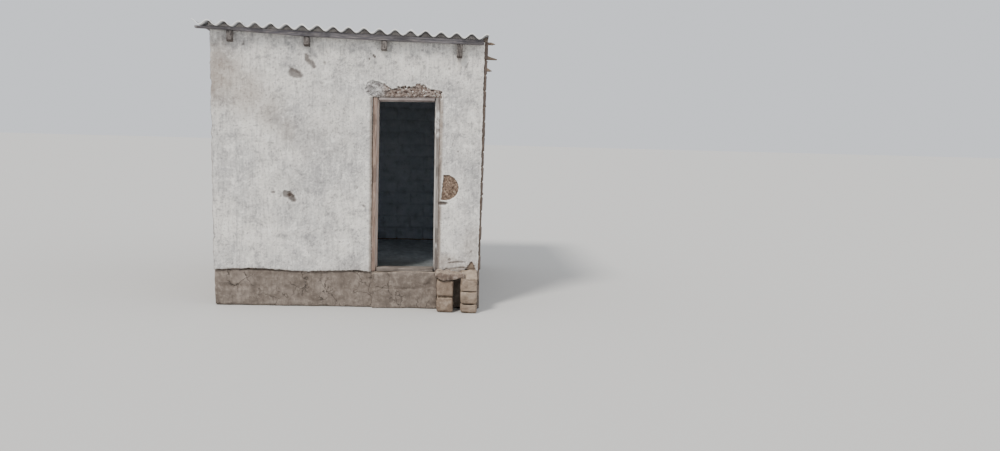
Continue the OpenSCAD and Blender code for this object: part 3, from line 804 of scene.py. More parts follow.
def scar_marks(x, z):
    """Depth, darkness (partly painted shade in the pits) and pale rims of the pits and scars"""
    wobble = 0.22 * rough(on_wall(x, z), 0.018, 31)
    rim_gaps = smooth(wobble, -0.12, 0.05)
    depth, dark, pale = (np.zeros_like(x) for _ in range(3))
    for right, up, length, width, turn, deep, darkness, rim in SCARS:
        dx, dz = x - X_LEFT - right, z - PLINTH_H - up
        c, s = math.cos(math.radians(turn)), math.sin(math.radians(turn))
        away = np.hypot((dx * c + dz * s) / length, (dz * c - dx * s) / width) + wobble
        depth = np.maximum(depth, deep * smooth(away, 1.15, 0.75))
        dark = np.maximum(dark, darkness * smooth(away, 1.15, 0.85))
        ring = rim * smooth(away, 1.7, 1.25) * smooth(away, 1.0, 1.2)
        pale = np.maximum(pale, ring * rim_gaps)
    return depth, dark, pale


def cloud_marks(x, z, clouds):
    """Soft clouds at the places in a table"""
    stain = np.zeros_like(x)
    for right, up, width, height, strength in clouds:
        away = np.hypot((x - X_LEFT - right) / width, (z - PLINTH_H - up) / height)
        stain = np.maximum(stain, strength * smooth(away, 1.3, 0.2))
    return stain


def stain_marks(x, z):
    """Where rain, rust and damp have browned the plaster, and mud has washed down beside the frame"""
    damp = 0.45 * smooth(z, PLINTH_H + 0.22, PLINTH_H + 0.02) * smooth(x, FRAME_L - 0.9, X_RIGHT)
    close_by = smooth(np.maximum(FRAME_L - x, x - FRAME_R), 0.034, 0.010)
    washed = 0.75 * close_by * smooth(z, JAMB_TOP + 0.02, JAMB_TOP)
    return np.maximum(np.maximum(cloud_marks(x, z, STAINS), damp), washed)


def coat_depth(x, z, pit, bare):
    """Depth behind the plaster's front plane: sound plaster with its pits, or crumbled mud where bare"""
    spot = on_wall(x, z)
    sound = 0.0060 + 0.0030 * rough(spot, 0.60, 41, 2) + 0.0020 * rough(spot, 0.14, 43)
    sound = sound + 0.0007 * noise(spot, (0.05, 1, 0.015), 46)
    straw_lay = (spot @ np.array([[0.6, 0, 0.8], [0, 1, 0], [-0.8, 0, 0.6]])) * (1, 1, 0.22)
    above = 0.0165 + 0.0075 * rough(spot, 0.040, 51, 4) + 0.0025 * noise(spot, 0.013, 56)
    patch = 0.0180 + 0.0030 * rough(spot, 0.045, 57) + 0.0045 * noise(straw_lay, 0.012, 58)
    mud = np.where(z > OVER_PATCH, above, patch)
    return (sound + pit) * (1 - bare) + mud * bare


def foot_marks(x, z, bare):
    """Mud smeared over the plaster's foot right of the doorway, and the crack along the smear's edge"""
    spot = on_wall(x, z)
    edge = foot_line(x) + 0.006 * rough(spot, 0.05, 48)
    smeared = smooth(edge - z, -0.002, 0.008) * (x > FRAME_R)
    crack = band(z, edge, 0.010, 0.003) * (x > FRAME_R + 0.03)
    return smeared, crack * smooth(noise(spot, 0.08, 47), -0.8, -0.4) * (1 - bare)


def relief(x, z):
    """Depth of the surface behind the plaster's front plane, and its marks"""
    margin = bare_margin(x, z)
    edge = plaster_margin(x, z)
    bare = smooth(margin, -0.002, 0.003)
    pit, dark, pale = scar_marks(x, z)
    smeared, crack = foot_marks(x, z, bare)
    turned_in = smooth(off_frame(x), 0.030, 0.0) ** 2 * smooth(z, JAMB_TOP + 0.02, JAMB_TOP - 0.02)
    depth = coat_depth(x, z, pit, bare) + 0.006 * smooth(edge, 0.010, 0.0) + 0.012 * turned_in
    depth = depth + 0.004 * smeared + 0.005 * crack
    frayed = 0.8 * smooth(margin, -0.016, -0.003) * (1 - bare)
    lit_edge = 0.8 * band(right_edge(z) - 0.004, x, 0.010, 0.004)
    # Painted shade: dark lines in the gap just over the frame's head and beside the right jamb's lower part
    over_head = 0.7 * band(z, head_line(x), 0.014, 0.004) * (x > FRAME_L) * (x < FRAME_R)
    beside_frame = 0.55 * band(x, FRAME_R, 0.014, 0.006) * smooth(z, JAMB_TOP - 0.62, JAMB_TOP - 0.70)
    marks = {
        "bare": highest(bare, smooth(edge, 0.004, 0.0) * (x < right_edge(z) - 0.02)),
        "dark": highest(dark * (1 - bare), over_head, beside_frame, 0.9 * crack),
        "pale": highest(pale, frayed, lit_edge),
        "stain": highest(stain_marks(x, z), 0.8 * smeared),
        "grey_stain": cloud_marks(x, z, GREY_STAINS),
        "grey": smooth(x, FRAME_L + 0.17, FRAME_L + 0.04) * smooth(z, OVER_PATCH, JAMB_TOP),
        "limy": smooth(z, OVER_PATCH, JAMB_TOP - 0.1) + smooth(z, PATCH[1] - 0.3, PATCH[1] - 0.5)
    }
    return np.clip(depth, 0.0005, 0.0235), marks


def snapped_grid(lines_x, lines_z, margin_of):
    """Grid points, with those near the outline moved onto it, and which of them to keep"""
    x, z = np.meshgrid(lines_x, lines_z, indexing="ij")
    margin = margin_of(x, z)
    slope_x = np.gradient(margin, lines_x, axis=0)
    slope_z = np.gradient(margin, lines_z, axis=1)
    slope = np.maximum(np.hypot(slope_x, slope_z), 0.3)
    reach = 0.55 * np.minimum(np.gradient(x, axis=0), np.gradient(z, axis=1))
    near = np.abs(margin) < reach * slope
    x = np.where(near, x - margin * slope_x / slope ** 2, x)
    z = np.where(near, z - margin * slope_z / slope ** 2, z)
    return x, z, (margin > 0) | near


def grid_faces(keep):
    """Faces of the cells whose corners are kept, with triangles where three of the four are"""
    index = np.arange(keep.size).reshape(keep.shape)
    cell = np.stack([index[:-1, :-1], index[1:, :-1], index[1:, 1:], index[:-1, 1:]], -1).reshape(-1, 4)
    kept = keep.ravel()[cell]
    faces = [list(f) for f in cell[kept.all(1)]]
    for f, k in zip(cell[kept.sum(1) == 3], kept[kept.sum(1) == 3]):
        faces.append([v for v, used in zip(f.tolist(), k) if used])
    return faces


def compact(points, faces, marks):
    """Drops the points that no face uses"""
    used = np.unique(np.concatenate([np.asarray(f) for f in faces]))
    renumber = np.full(len(points), -1)
    renumber[used] = np.arange(len(used))
    faces = [[int(renumber[v]) for v in f] for f in faces]
    return points[used], faces, {key: values[used] for key, values in marks.items()}


def close_behind(piece, y):
    """Closes an open front by running its rim back to y and filling the back"""
    bm = opened(piece)
    rim = [e for e in bm.edges if e.is_boundary]
    run = bmesh.ops.extrude_edge_only(bm, edges=rim)["geom"]
    for v in run:
        if isinstance(v, bmesh.types.BMVert):
            v.co.y = y
    back = [e for e in bm.edges if e.is_boundary]
    bmesh.ops.triangle_fill(bm, edges=back, use_beauty=False)
    bmesh.ops.recalc_face_normals(bm, faces=bm.faces)
    for edge in rim:
        edge.smooth = False
    put_back(bm, piece)


def build_plaster(material):
    """The whole front coat: plaster, and the rough mud where it has broken off"""
    # The grid is closer at the coat's ends, round the doorway and across the round patch
    lines_x = spaced((X_LEFT - 0.008, 0.007), (X_LEFT + 0.03, 0.013), (FRAME_L - 0.10, 0.0065),
                     (FRAME_R + 0.23, 0.011), (X_RIGHT - 0.05, 0.007), end=X_RIGHT + 0.03)
    lines_z = spaced((PLINTH_H - 0.04, 0.008), (PLINTH_H + 0.16, 0.013), (PATCH[1] - 0.16, 0.0065),
                     (PATCH[1] + 0.15, 0.013), (JAMB_TOP - 0.06, 0.0065), (JAMB_TOP + 0.14, 0.012),
                     end=roof_z(X_LEFT, Y_FACE) + 0.01)
    x, z, keep = snapped_grid(lines_x, lines_z, plaster_margin)
    depth, marks = relief(x, z)
    points = np.stack([x, Y_FACE + depth, z], -1).reshape(-1, 3)
    marks = {key: values.ravel() for key, values in marks.items()}
    points, faces, marks = compact(points, grid_faces(keep), marks)
    nodes = ("front_plaster_left", "front_plaster_right", "front_plaster_over_door")
    piece = add_piece("front_plaster_coat", points, faces, [material], nodes, marks)
    close_behind(piece, Y_ADOBE - 0.0005)


# Adobe masonry


Brick = namedtuple("Brick", "node side inner low high")
FRAME_GAP = 0.004       # between the door frame and the bricks beside it
BRICK_EDGE = 0.010      # radius of a brick's worn edges
BRICK_PLAY = 0.003      # how far a brick may be larger or smaller than planned
SHOWN_CELLS = (8, 8, 4)         # grid cells along a brick that shows outside
HIDDEN_CELLS = (5, 5, 2)
ADOBE, MORTAR, INNER_ADOBE, INNER_MORTAR = range(4)     # places of a wall's materials
SQUEEZE_ROOT = 0.016    # how deep squeezed mortar starts inside the wall
SQUEEZES = (("right", 0.015), ("left", 0.008), ("back", 0.008))     # side and greatest reach


def run_of_bricks(start, end):
    """Bricks with their joints from start to end, as near to the usual length as fits"""
    count = max(1, round((end - start + JOINT) / BRICK_L))
    pitch = (end - start + JOINT) / count
    return [(start + k * pitch, start + (k + 1) * pitch - JOINT) for k in range(count)]


def ring_of_bricks(low, high, parity, gap=None):
    """Plan of one course: a ring one brick wide, with corners that alternate and an optional doorway"""
    (x0, y0), (x1, y1) = low, high
    along = 0 if parity == 0 else WYTHE + JOINT
    across = WYTHE + JOINT if parity == 0 else 0
    bricks = []
    stretches = [(x0 + along, x1 - along)]
    if gap:
        stretches = [(x0 + along, gap[0]), (gap[1], x1 - along)]
    for a, b in stretches:
        bricks += [("front", s, y0, e, y0 + WYTHE) for s, e in run_of_bricks(a, b)]
    bricks += [("back", s, y1 - WYTHE, e, y1) for s, e in run_of_bricks(x0 + along, x1 - along)]
    for side, a in (("left", x0), ("right", x1 - WYTHE)):
        bricks += [(side, a, s, a + WYTHE, e) for s, e in run_of_bricks(y0 + across, y1 - across)]
    return bricks


def wall_node(side, x, z):
    """CAD node that a brick belongs to"""
    if side != "front":
        return side + "_wall"
    if FRAME_L < x < FRAME_R and z > LINTEL_LOW[2]:
        return "front_wall_over_door"
    return "front_wall_left" if x < FRAME_L else "front_wall_right"


def ceiling(side, inner, x, y):
    """Top of the masonry: under the sheets, under the end rafters, or under the back purlin"""
    if side == "back":
        return roof_z(x, y, -0.056)
    if side == "left" and inner:
        return roof_z(x, y, -PURLIN_T[0] - RAFTER_H[0] - 0.002)
    if side == "right" and inner:
        return roof_z(x, y, -PURLIN_T[3] - RAFTER_H[3] - 0.002)
    return roof_z(x, y, -0.003)


def brick_at(side, inner, plan, z0):
    """The brick at a place of a course's plan, up from z0, or None where the roof leaves no room"""
    x0, y0, x1, y1 = plan
    middle = (x0 + x1) / 2
    room = float(ceiling(side, inner, middle, (y0 + y1) / 2)) - z0
    if room < LEAST_BRICK:
        return None
    top = z0 + COURSE - JOINT if room > COURSE + LEAST_BRICK else z0 + room + 0.05
    node = wall_node(side, middle, z0)
    base = max(z0, LINTEL_HIGH[2] + 0.003) if node == "front_wall_over_door" else z0
    return Brick(node, side, inner, (x0, y0, base), (x1, y1, top))


def plan_bricks():
    """Every brick of the walls, the outer ones first"""
    whole = ((X_LEFT, Y_ADOBE), (X_RIGHT, Y_BACK))
    step = WALL_T - WYTHE - INNER_RECESS
    inside_ring = ((X_LEFT + step, Y_ADOBE + step), (X_RIGHT - step, Y_BACK - step))
    doorway = (FRAME_L - FRAME_GAP, FRAME_R + FRAME_GAP)
    bricks = []
    for inner, (low, high) in ((False, whole), (True, inside_ring)):
        for course in range(COURSES):
            z0 = PLINTH_H + BED[inner] + course * COURSE
            gap = doorway if z0 < LINTEL_LOW[2] else None
            for side, *plan in ring_of_bricks(low, high, (course + inner) % 2, gap):
                bricks.append(brick_at(side, inner, plan, z0))
    return [brick for brick in bricks if brick]


def repeated(faces, copies, size):
    """Faces of several copies of a mesh of size points, one after another"""
    return (faces[None] + (np.arange(copies) * size)[:, None, None]).reshape(-1, 4)


def unit_brick(counts):
    """Surface of a unit brick, with -1 and 2 for its outer faces and 0 to 1 between its rounded edges"""
    return box_surface(*[np.concatenate([[-1], np.linspace(0, 1, n + 1), [2]]) for n in counts])


def lay_bricks(bricks, counts, seed):
    """Rough bricks as one mesh, each with its own tone"""
    unit, faces = unit_brick(counts)
    rng = np.random.default_rng(seed)
    low = np.array([b.low for b in bricks])
    high = np.array([b.high for b in bricks])
    low = (low + rng.uniform(-BRICK_PLAY, BRICK_PLAY, low.shape))[:, None]
    high = (high + rng.uniform(-BRICK_PLAY, BRICK_PLAY, high.shape))[:, None]
    between = low + BRICK_EDGE + unit * (high - low - 2 * BRICK_EDGE)
    spots = np.where(unit < 0, low, np.where(unit > 1, high, between))
    inner, out = rounded(spots, low, high, BRICK_EDGE)
    worn = 0.0030 * rough(spots, 0.065, seed) + 0.0012 * noise(spots, 0.016, seed + 7)
    worn -= 0.012 * smooth(noise(spots, 0.11, seed + 9), 0.45, 0.95) * on_edge(out)
    points = inner + out * (BRICK_EDGE + worn)[..., None]
    for own, brick, floor in zip(points, bricks, low[:, 0, 2]):
        keep_under_ceiling(own, brick, floor)
    leaning = np.clip((points[..., 0] - X_RIGHT + WALL_T) / 0.10, 0, 1)
    points[..., 0] += leaning * lean(points[..., 2])
    tone = np.repeat(rng.uniform(-1, 1, len(bricks)), len(unit))
    return points.reshape(-1, 3), repeated(faces, len(bricks), len(unit)), tone


def keep_under_ceiling(points, brick, floor):
    """Squashes a brick's points down where the roof or a timber lies below its top"""
    x, y, z = points.T
    planned = brick.high[2]
    top = np.minimum(planned, ceiling(brick.side, brick.inner, x, y))
    points[:, 2] = floor + (z - floor) * (top - floor) / (planned - floor)


def meets_wall(node, face):
    """True for a side wall's face against the front or back wall"""
    y = face.calc_center_median().y
    at_corner = min(abs(y - Y_ROOM), abs(y - Y_ROOM_BACK)) < 1e-3
    return node in ("left_wall", "right_wall") and abs(face.normal.y) > 0.99 and at_corner


def inset_solid(node, depth):
    """The CAD solid with every face moved in by depth, and without what stands out at the right end"""
    bm = bmesh.new()
    bm.from_mesh(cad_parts[node].data)
    for v in bm.verts:
        v.co.x = min(v.co.x, X_RIGHT + lean(v.co.z))
    bmesh.ops.remove_doubles(bm, verts=bm.verts, dist=1e-5)
    bmesh.ops.dissolve_degenerate(bm, dist=1e-5, edges=bm.edges)
    bmesh.ops.recalc_face_normals(bm, faces=bm.faces)
    bm.verts.index_update()
    points = np.array([inset_corner(node, v, depth) for v in bm.verts])
    faces = [[v.index for v in f.verts] for f in bm.faces]
    bm.free()
    points[:, 0] = np.minimum(points[:, 0], X_RIGHT + lean(points[:, 2]) - depth)
    points[:, 1] = np.maximum(points[:, 1], Y_ADOBE + depth)
    return points, faces


def inset_corner(node, v, depth):
    """A corner moved so that it lies depth inside its faces, or a little outside those that meet a wall"""
    planes = [[*f.normal, meets_wall(node, f)] for f in v.link_faces if f.calc_area() > 1e-7]
    planes = np.unique(np.round(planes, 4), axis=0)
    moves = np.where(planes[:, 3] > 0, 1.3 * depth, -depth)
    return np.array(v.co) + np.linalg.lstsq(planes[:, :3], moves, rcond=None)[0]


def faces_room(middles):
    """True where a point of a wall's surface lies on the room's side"""
    depth = WALL_T - 2 * MORTAR_INSET
    x, y = middles[:, 0], middles[:, 1]
    return (x > X_LEFT + depth) & (x < X_RIGHT - depth) & (y > Y_ADOBE + depth) & (y < Y_BACK - depth)


def wall_parts(node, bricks, seed):
    """A wall's bed, bricks and ridges, each as (mesh, tones of its points, materials of its faces)"""
    is_front = node.startswith("front_wall")
    bed, faces = inset_solid(node, MORTAR_INSET)
    middles = np.array([np.mean(bed[f], axis=0) for f in faces])
    in_room = faces_room(middles) & (not is_front)
    parts = [((bed, faces), np.zeros(len(bed)), np.where(in_room, INNER_MORTAR, MORTAR).tolist())]
    shown = [b for b in bricks if is_outside(b)]
    hidden = [b for b in bricks if not is_outside(b)]
    hidden_slot = ADOBE if is_front else INNER_ADOBE
    for group, cells, slot in ((shown, SHOWN_CELLS, ADOBE), (hidden, HIDDEN_CELLS, hidden_slot)):
        if group:
            points, faces, tone = lay_bricks(group, cells, 100 + seed)
            parts.append(((points, faces), painted_shade_end_tones(points, tone), [slot] * len(faces)))
    if node == "front_wall_right":
        points, faces = mortar_ridges()
        parts.append(((points, faces), np.zeros(len(points)), [MORTAR] * len(faces)))
    return parts


def painted_shade_end_tones(points, tone):
    """Tones of the bricks, with painted shade on the strip of the front that the plaster leaves bare at its
    ends
    """
    off_end = np.minimum(X_RIGHT - points[:, 0], points[:, 0] - X_LEFT)
    strip = smooth(points[:, 1], Y_ADOBE + 0.03, Y_ADOBE + 0.015) * smooth(off_end, 0.050, 0.040)
    return tone * (1 - strip) + 1.9 * strip


def build_walls(*materials):
    """Each adobe wall: bricks laid in a recessed bed of mud; materials go from ADOBE to INNER_MORTAR"""
    bricks = plan_bricks()
    for seed, node in enumerate(sorted({b.node for b in bricks})):
        parts = wall_parts(node, [b for b in bricks if b.node == node], seed)
        points, faces = joined([mesh for mesh, _, _ in parts])
        marks = {"tone": np.concatenate([tones for _, tones, _ in parts])}
        slots = np.concatenate([slots for _, _, slots in parts])
        add_piece(node + "_masonry", points, faces, materials, [node], marks, slots)


def lumps_in(boxes, seed):
    """Irregular rounded lumps that fill boxes, as points and faces"""
    unit, faces = box_surface(*[np.linspace(-1, 1, n) for n in (7, 7, 5)])
    unit = unit / (np.abs(unit) ** 3).sum(1, keepdims=True) ** (1 / 3)
    low, high = (np.array([box[k] for box in boxes])[:, None] for k in (0, 1))
    spots = (low + high) / 2 + unit * (high - low) / 2
    swell = 1 + 0.60 * rough(spots, 0.022, seed, 2)
    points = (low + high) / 2 + unit * (high - low) / 2 * swell[..., None]
    points[..., 2] -= 0.010 * smooth(noise(spots, 0.05, seed + 4), 0.0, 0.8)
    return points.reshape(-1, 3), repeated(faces, len(boxes), len(unit))


def squeeze_box(side, most, z, rng):
    """Box for one squeeze of mortar out of the bed joint at height z"""
    length, reach = rng.uniform(0.05, 0.22), most * rng.uniform(0.3, 1.0)
    at = rng.uniform(0.05, 0.95)
    half = rng.uniform(0.007, 0.011)
    if side == "back":
        x = X_LEFT + at * (X_RIGHT - X_LEFT - length)
        return (x, Y_BACK - SQUEEZE_ROOT, z - half), (x + length, Y_BACK + reach, z + half)
    y = Y_ADOBE + at * (Y_BACK - Y_ADOBE - length)
    end = X_RIGHT + lean(z)
    near, far = end - SQUEEZE_ROOT, end + reach
    if side == "left":
        near, far = X_LEFT - reach, X_LEFT + SQUEEZE_ROOT
    return (near, y, z - half), (far, y + length, z + half)


def build_squeezes(mortar):
    """Mortar squeezed out of the bed joints outside, most of it on the right end"""
    rng = np.random.default_rng(640)
    boxes = []
    for course in range(1, COURSES - 1):
        z = PLINTH_H + BED[0] + course * COURSE - JOINT / 2
        for side, most in SQUEEZES:
            for _ in range(4):
                low, high = squeeze_box(side, most, z, rng)
                if z + 0.06 < ceiling(side, False, low[0], high[1]):
                    boxes.append((low, high))
    points, faces = lumps_in(boxes, 641)
    oriented(add_piece("squeezed_mortar", points, faces, [mortar], []))


def mortar_ridges():
    """The three long ridges of mortar at the right end of the front wall, as points and faces"""
    parts = []
    for i, (up, reach) in enumerate(zip(RIDGE_AT, RIDGE_REACH)):
        z0 = PLINTH_H + up
        x0 = X_RIGHT + lean(z0)
        low = np.array([x0 - 0.012, Y_ADOBE + 0.004, z0])
        high = np.array([x0 + reach, Y_ADOBE + RIDGE_L, z0 + RIDGE_H])
        points, faces = rough_surface(low, high, (0.010, 0.005, 0.0015), 655 + i)
        x, y, z = points.T
        out = (x - x0) / reach
        behind = smooth(y, Y_ADOBE + 0.02, Y_ADOBE + 0.05)
        ragged = 1 - 0.30 * smooth(noise(points * (0, 1, 0), 0.045, 650 + i), -0.1, 0.8) * behind
        top = np.interp(out, [-0.2, 0, 0.4, 1.0], [1.0, 1.0, 0.62, 0.15])
        points[:, 0] = np.where(out > 0, x0 + (x - x0) * ragged, x)
        points[:, 2] = np.minimum(z0 + (z - z0) * top, roof_z(points[:, 0], y, -0.003))
        parts.append((points, faces))
    return joined(parts)


def is_outside(brick):
    """True where a brick shows on the outside of the building"""
    at_end = brick.high[0] > X_RIGHT - 0.2 or brick.low[0] < X_LEFT + 0.2
    return not brick.inner and (brick.side != "front" or at_end)


# Mud and earth


def rough_surface(low, high, cut, seed):
    """Points and faces of a rough block; cut is its grid step, the radius of its edges and its wear"""
    step, radius, wear = cut
    points, faces = box_surface(*[lines_between(a, b, step, radius) for a, b in zip(low, high)])
    inner, out = rounded(points, low, high, radius)
    bumps = -wear * (0.5 + 0.5 * rough(points, 0.09, seed)) + 0.25 * wear * noise(points, 0.016, seed + 5)
    bumps -= 2.0 * wear * on_edge(out) * smooth(noise(points, 0.07, seed + 9), 0.0, 0.8)
    return inner + out * (radius + bumps)[:, None], faces


def rough_block(name, node, material, cut, seed, box=None, shape=None, tone=0.0):
    """Closed rough block in the place of a node; shape may move its points"""
    low, high = box or corners(node)
    points, faces = rough_surface(low, high, cut, seed)
    if shape:
        points = shape(points)
    points[:, 2] = np.maximum(points[:, 2], 0.0)
    return add_piece(name, points, faces, [material], [node], {"tone": np.full(len(points), tone)})


def eroded(points, foot, inward, seed):
    """Washes hollows into a mud face, most of them near its foot and along a few level cracks"""
    z = points[:, 2]
    along = points * (1, 1, 0)
    hollow = 0.012 * smooth(rough(points, (0.22, 0.22, 0.10), seed), 0.05, 0.75)
    washed = 0.010 * smooth(z, foot + 0.16, foot + 0.02) * (0.6 + 0.4 * noise(along, 0.12, seed + 1))
    course = foot + 0.205 + 0.010 * noise(along, 0.25, seed + 2)
    crack = 0.007 * band(z, course, 0.014, 0.004) * smooth(noise(along, 0.30, seed + 3), -0.5, 0.2)
    return (hollow + washed + crack) * inward


def build_plinth(material):
    """Mud plinth, washed out on its outer faces; the sides reach a little into the front and back"""
    for side, axis, inward in (("front", 1, 1), ("back", 1, -1), ("left", 0, 1), ("right", 0, -1)):
        low, high = corners("plinth_" + side)
        grow = 0.02 if axis == 0 else 0
        low[1] -= grow
        high[1] += grow
        outer = low[axis] if inward == 1 else high[axis]

        def shape(points, foot=low[2], axis=axis, outer=outer, inward=inward):
            share = band(points[:, axis], outer, 0.05, 0.02)
            points[:, axis] += share * eroded(points, foot, inward, 620)
            return points

        rough_block("plinth_%s_mud" % side, "plinth_" + side, material, (0.021, 0.012, 0.006), 7,
                    (low, high), shape)


def build_floor(material):
    """Packed earth floor, which reaches a little under the plinth's inner faces"""
    low, high = corners("earth_floor")
    low[:2] -= 0.02
    high[:2] += 0.02
    cut = (0.045, 0.010, 0.010)
    rough_block("earth_floor_packed", "earth_floor", material, cut, 61, (low, high))


def build_threshold_mud(material):
    """Eroded mud face below the sill, highest in the middle"""
    low, high = corners("mud_face_under_door")
    top = high[2]

    def shape(points):
        x, z = points[:, 0], points[:, 2]
        crown = np.interp(x, [low[0], (FRAME_L + FRAME_R) / 2, high[0]], [top - 0.024, top, top - 0.004])
        points[:, 2] = z * crown / top
        points[:, 1] += eroded(points, low[2], 1, 71) * (points[:, 1] < low[1] + 0.02)
        left_end = smooth(x, low[0] + 0.03, low[0]) * (0.5 + 0.5 * rough(points * (0, 0, 1), 0.09, 73))
        points[:, 0] += 0.022 * left_end + 0.008 * smooth(x, high[0] - 0.02, high[0])
        return points

    cut = (0.012, 0.010, 0.006)
    rough_block("threshold_mud", "mud_face_under_door", material, cut, 72, shape=shape)


def build_packing(material):
    """Mud packed round the lintel, over the frame's head"""
    rough_block("mud_packing_rough", "mud_packing", material, (0.018, 0.006, 0.003), 81)


# Blocks of the step below the top one: name, how far the top sets back, tone
STEP_BLOCKS = (
    ("left_lower", 0.006, 0.2), ("left_upper", -0.004, 0.7),
    ("right_lower", 0.003, 0.3), ("right_middle", -0.006, -0.2)
)


def build_step(adobe, mortar):
    """The broken step: two stacks of adobe blocks, worn on top, and a slab on the left one"""
    for i, (name, skew, tone) in enumerate(STEP_BLOCKS):
        node = "step_block_" + name
        low, high = corners(node)

        def shape(points, low=low, high=high, skew=skew):
            share = (points[:, 2] - low[2]) / (high[2] - low[2]) - 0.5
            points[:, 1] += np.maximum(skew * share * 2, 0) + 0.003
            points[:, 2] += wavy_bed(points) * np.abs(2 * share) * (points[:, 2] > low[2] + 0.01)
            return points

        rough_block(node + "_rough", node, adobe, (0.009, 0.022, 0.010), 91 + i, None, shape, tone)
    worn_top(adobe)
    cap_slab(mortar)


def wavy_bed(points):
    """How far the joints between the step's blocks wander up and down"""
    return 0.006 * noise(points * (1, 1, 0), 0.055, 93)


def worn_top(adobe):
    """The top block, worn to a slope that rises to the plaster, with a groove across its front"""
    node = "step_block_right_upper"
    low, high = corners(node)
    face_top = corners("step_cap_slab")[0][2] + 0.032
    places = [low[1], low[1] + 0.030, Y_FACE, high[1]]
    heights = [face_top - 0.006, face_top + 0.010, face_top + 0.066, face_top - 0.03]

    def shape(points):
        x, y, z = points.T
        share = (z - low[2]) / (high[2] - low[2])
        slope = np.interp(y, places, heights) - 0.010 * smooth(noise(points * (1, 1, 0), 0.06, 95), 0.1, 0.8)
        lip = face_top - 0.018 + 0.006 * noise(points * (1, 0, 0), 0.09, 94)
        points[:, 2] = low[2] + share * (slope - low[2])
        groove = band(points[:, 2], lip, 0.012, 0.003) * band(x, (low[0] + high[0]) / 2, 0.068, 0.045)
        points[:, 1] += 0.009 * groove * smooth(y, low[1] + 0.03, low[1] + 0.01)
        points[:, 2] += 0.5 * wavy_bed(points) * (1 - share)
        return points

    rough_block(node + "_rough", node, adobe, (0.008, 0.016, 0.009), 96, None, shape, -0.1)


def cap_slab(mortar):
    """Broken slab with a lumpy top, thinner towards its ends and hollow under them"""
    low, high = corners("step_cap_slab")
    width, height = high[0] - low[0], high[2] - low[2]
    # Shares of the width, with shares of the height for the top and metres for the underside
    top_at = [0, 0.06, 0.20, 0.30, 0.45, 0.62, 0.93, 1.0]
    top_shares = [0.60, 0.84, 0.88, 0.70, 0.86, 0.72, 0.70, 0.50]
    under_at = [0, 0.08, 0.22, 0.45, 0.66, 0.82, 1.0]
    under_rise = [0.036, 0.026, 0.008, 0.0, 0.008, 0.030, 0.034]

    def shape(points):
        x, y, z = points.T
        along = (x - low[0]) / width
        share = (z - low[2]) / height
        top = np.interp(along, top_at, top_shares) * height + 0.014 * rough(points, 0.040, 99)
        under = np.interp(along, under_at, under_rise) * smooth(y, high[1] - 0.02, low[1] + 0.06)
        under = np.maximum(under + 0.006 * rough(points, 0.03, 100), 0)
        broken = smooth(noise(points * (1, 0, 0), 0.10, 98), -0.2, 0.9)
        front = 0.025 * broken * smooth(y, high[1] - 0.03, low[1])
        points[:, 2] = low[2] + np.clip(under + share * (top - under), 0, height)
        points[:, 1] = y + front + 0.010 * smooth(share, 0.55, 0.1) * smooth(y, low[1] + 0.03, low[1])
        points[:, 0] = x + 0.016 * (1 - share) * smooth(x, low[0] + 0.06, low[0])
        return points

    rough_block("step_cap_rough", "step_cap_slab", mortar, (0.007, 0.012, 0.012), 97, shape=shape)


# Timber


def points_between(start, end, step):
    """Points from start to end about step apart, without the two themselves"""
    cells = max(1, round(np.linalg.norm(end - start) / step))
    return [start + (end - start) * share for share in np.linspace(0, 1, cells + 1)[1:-1]]


def rounded_outline(points, radius, step):
    """A closed outline with softened corners, as points about step apart, and their outward normals"""
    points = [np.array(p, float) for p in points]
    bends = []
    for before, corner, after in zip(points[-1:] + points[:-1], points, points[1:] + points[:1]):
        to_before = (before - corner) / np.linalg.norm(before - corner)
        to_after = (after - corner) / np.linalg.norm(after - corner)
        middle = corner + 0.29 * radius * (to_before + to_after)
        bends.append((corner + radius * to_before, middle, corner + radius * to_after))
    ring = []
    for bend, following in zip(bends, bends[1:] + bends[:1]):
        ring += [*bend, *points_between(bend[2], following[0], step)]
    ring = np.array(ring)
    tangent = np.roll(ring, -1, 0) - np.roll(ring, 1, 0)
    normal = np.stack([tangent[:, 1], -tangent[:, 0]], -1)
    return ring, normal / np.linalg.norm(normal, axis=1, keepdims=True)


def drawn_in(row, centre, share, inward):
    """A copy of a bar's end ring, drawn in to a share of its size and moved inwards"""
    ring = row.copy()
    ring[:, :2] = centre + share * (row[:, :2] - centre)
    ring[:, 2] += inward
    return ring


def bar(outline, radius, along, place, seed, wear=0.0015, step=0.007):
    """Closed timber bar: an anticlockwise outline in (a, b) swept along t, put in the frame by place"""
    ring, normal = rounded_outline(outline, radius, step)
    count = len(ring)
    shape = (len(along), count)
    a, b = np.broadcast_to(ring[:, 0], shape), np.broadcast_to(ring[:, 1], shape)
    t = np.broadcast_to(np.asarray(along)[:, None], shape)
    spots = np.stack([a, b, t], -1)
    grain = rough(spots, (0.011, 0.011, 0.35), seed) + 0.8 * noise(spots, (0.05, 0.05, 0.40), seed + 3)
    split = smooth(noise(spots, (0.010, 0.010, 0.50), seed + 6), 0.55, 0.80)
    push = wear * (grain - 1.2) - 2.5 * wear * split
    body = np.stack([a + normal[:, 0] * push, b + normal[:, 1] * push, t], -1)
    centre = ring.mean(0)
    start = [drawn_in(body[0], centre, share, 0.5 * wear) for share in (0.4, 0.75)]
    end = [drawn_in(body[-1], centre, share, -0.5 * wear) for share in (0.75, 0.4)]
    layers = np.concatenate([start, body, end])
    a, b, t = layers.reshape(-1, 3).T
    index = np.arange(len(layers) * count).reshape(len(layers), count)
    after = np.roll(index, -1, 1)
    quads = np.stack([index[:-1], after[:-1], after[1:], index[1:]], -1).reshape(-1, 4)
    return place(a, b, t), quads.tolist() + [index[0][::-1].tolist(), index[-1].tolist()]


def rectangle(a0, b0, a1, b1):
    """Outline of a bar with four sides"""
    return [(a0, b0), (a1, b0), (a1, b1), (a0, b1)]


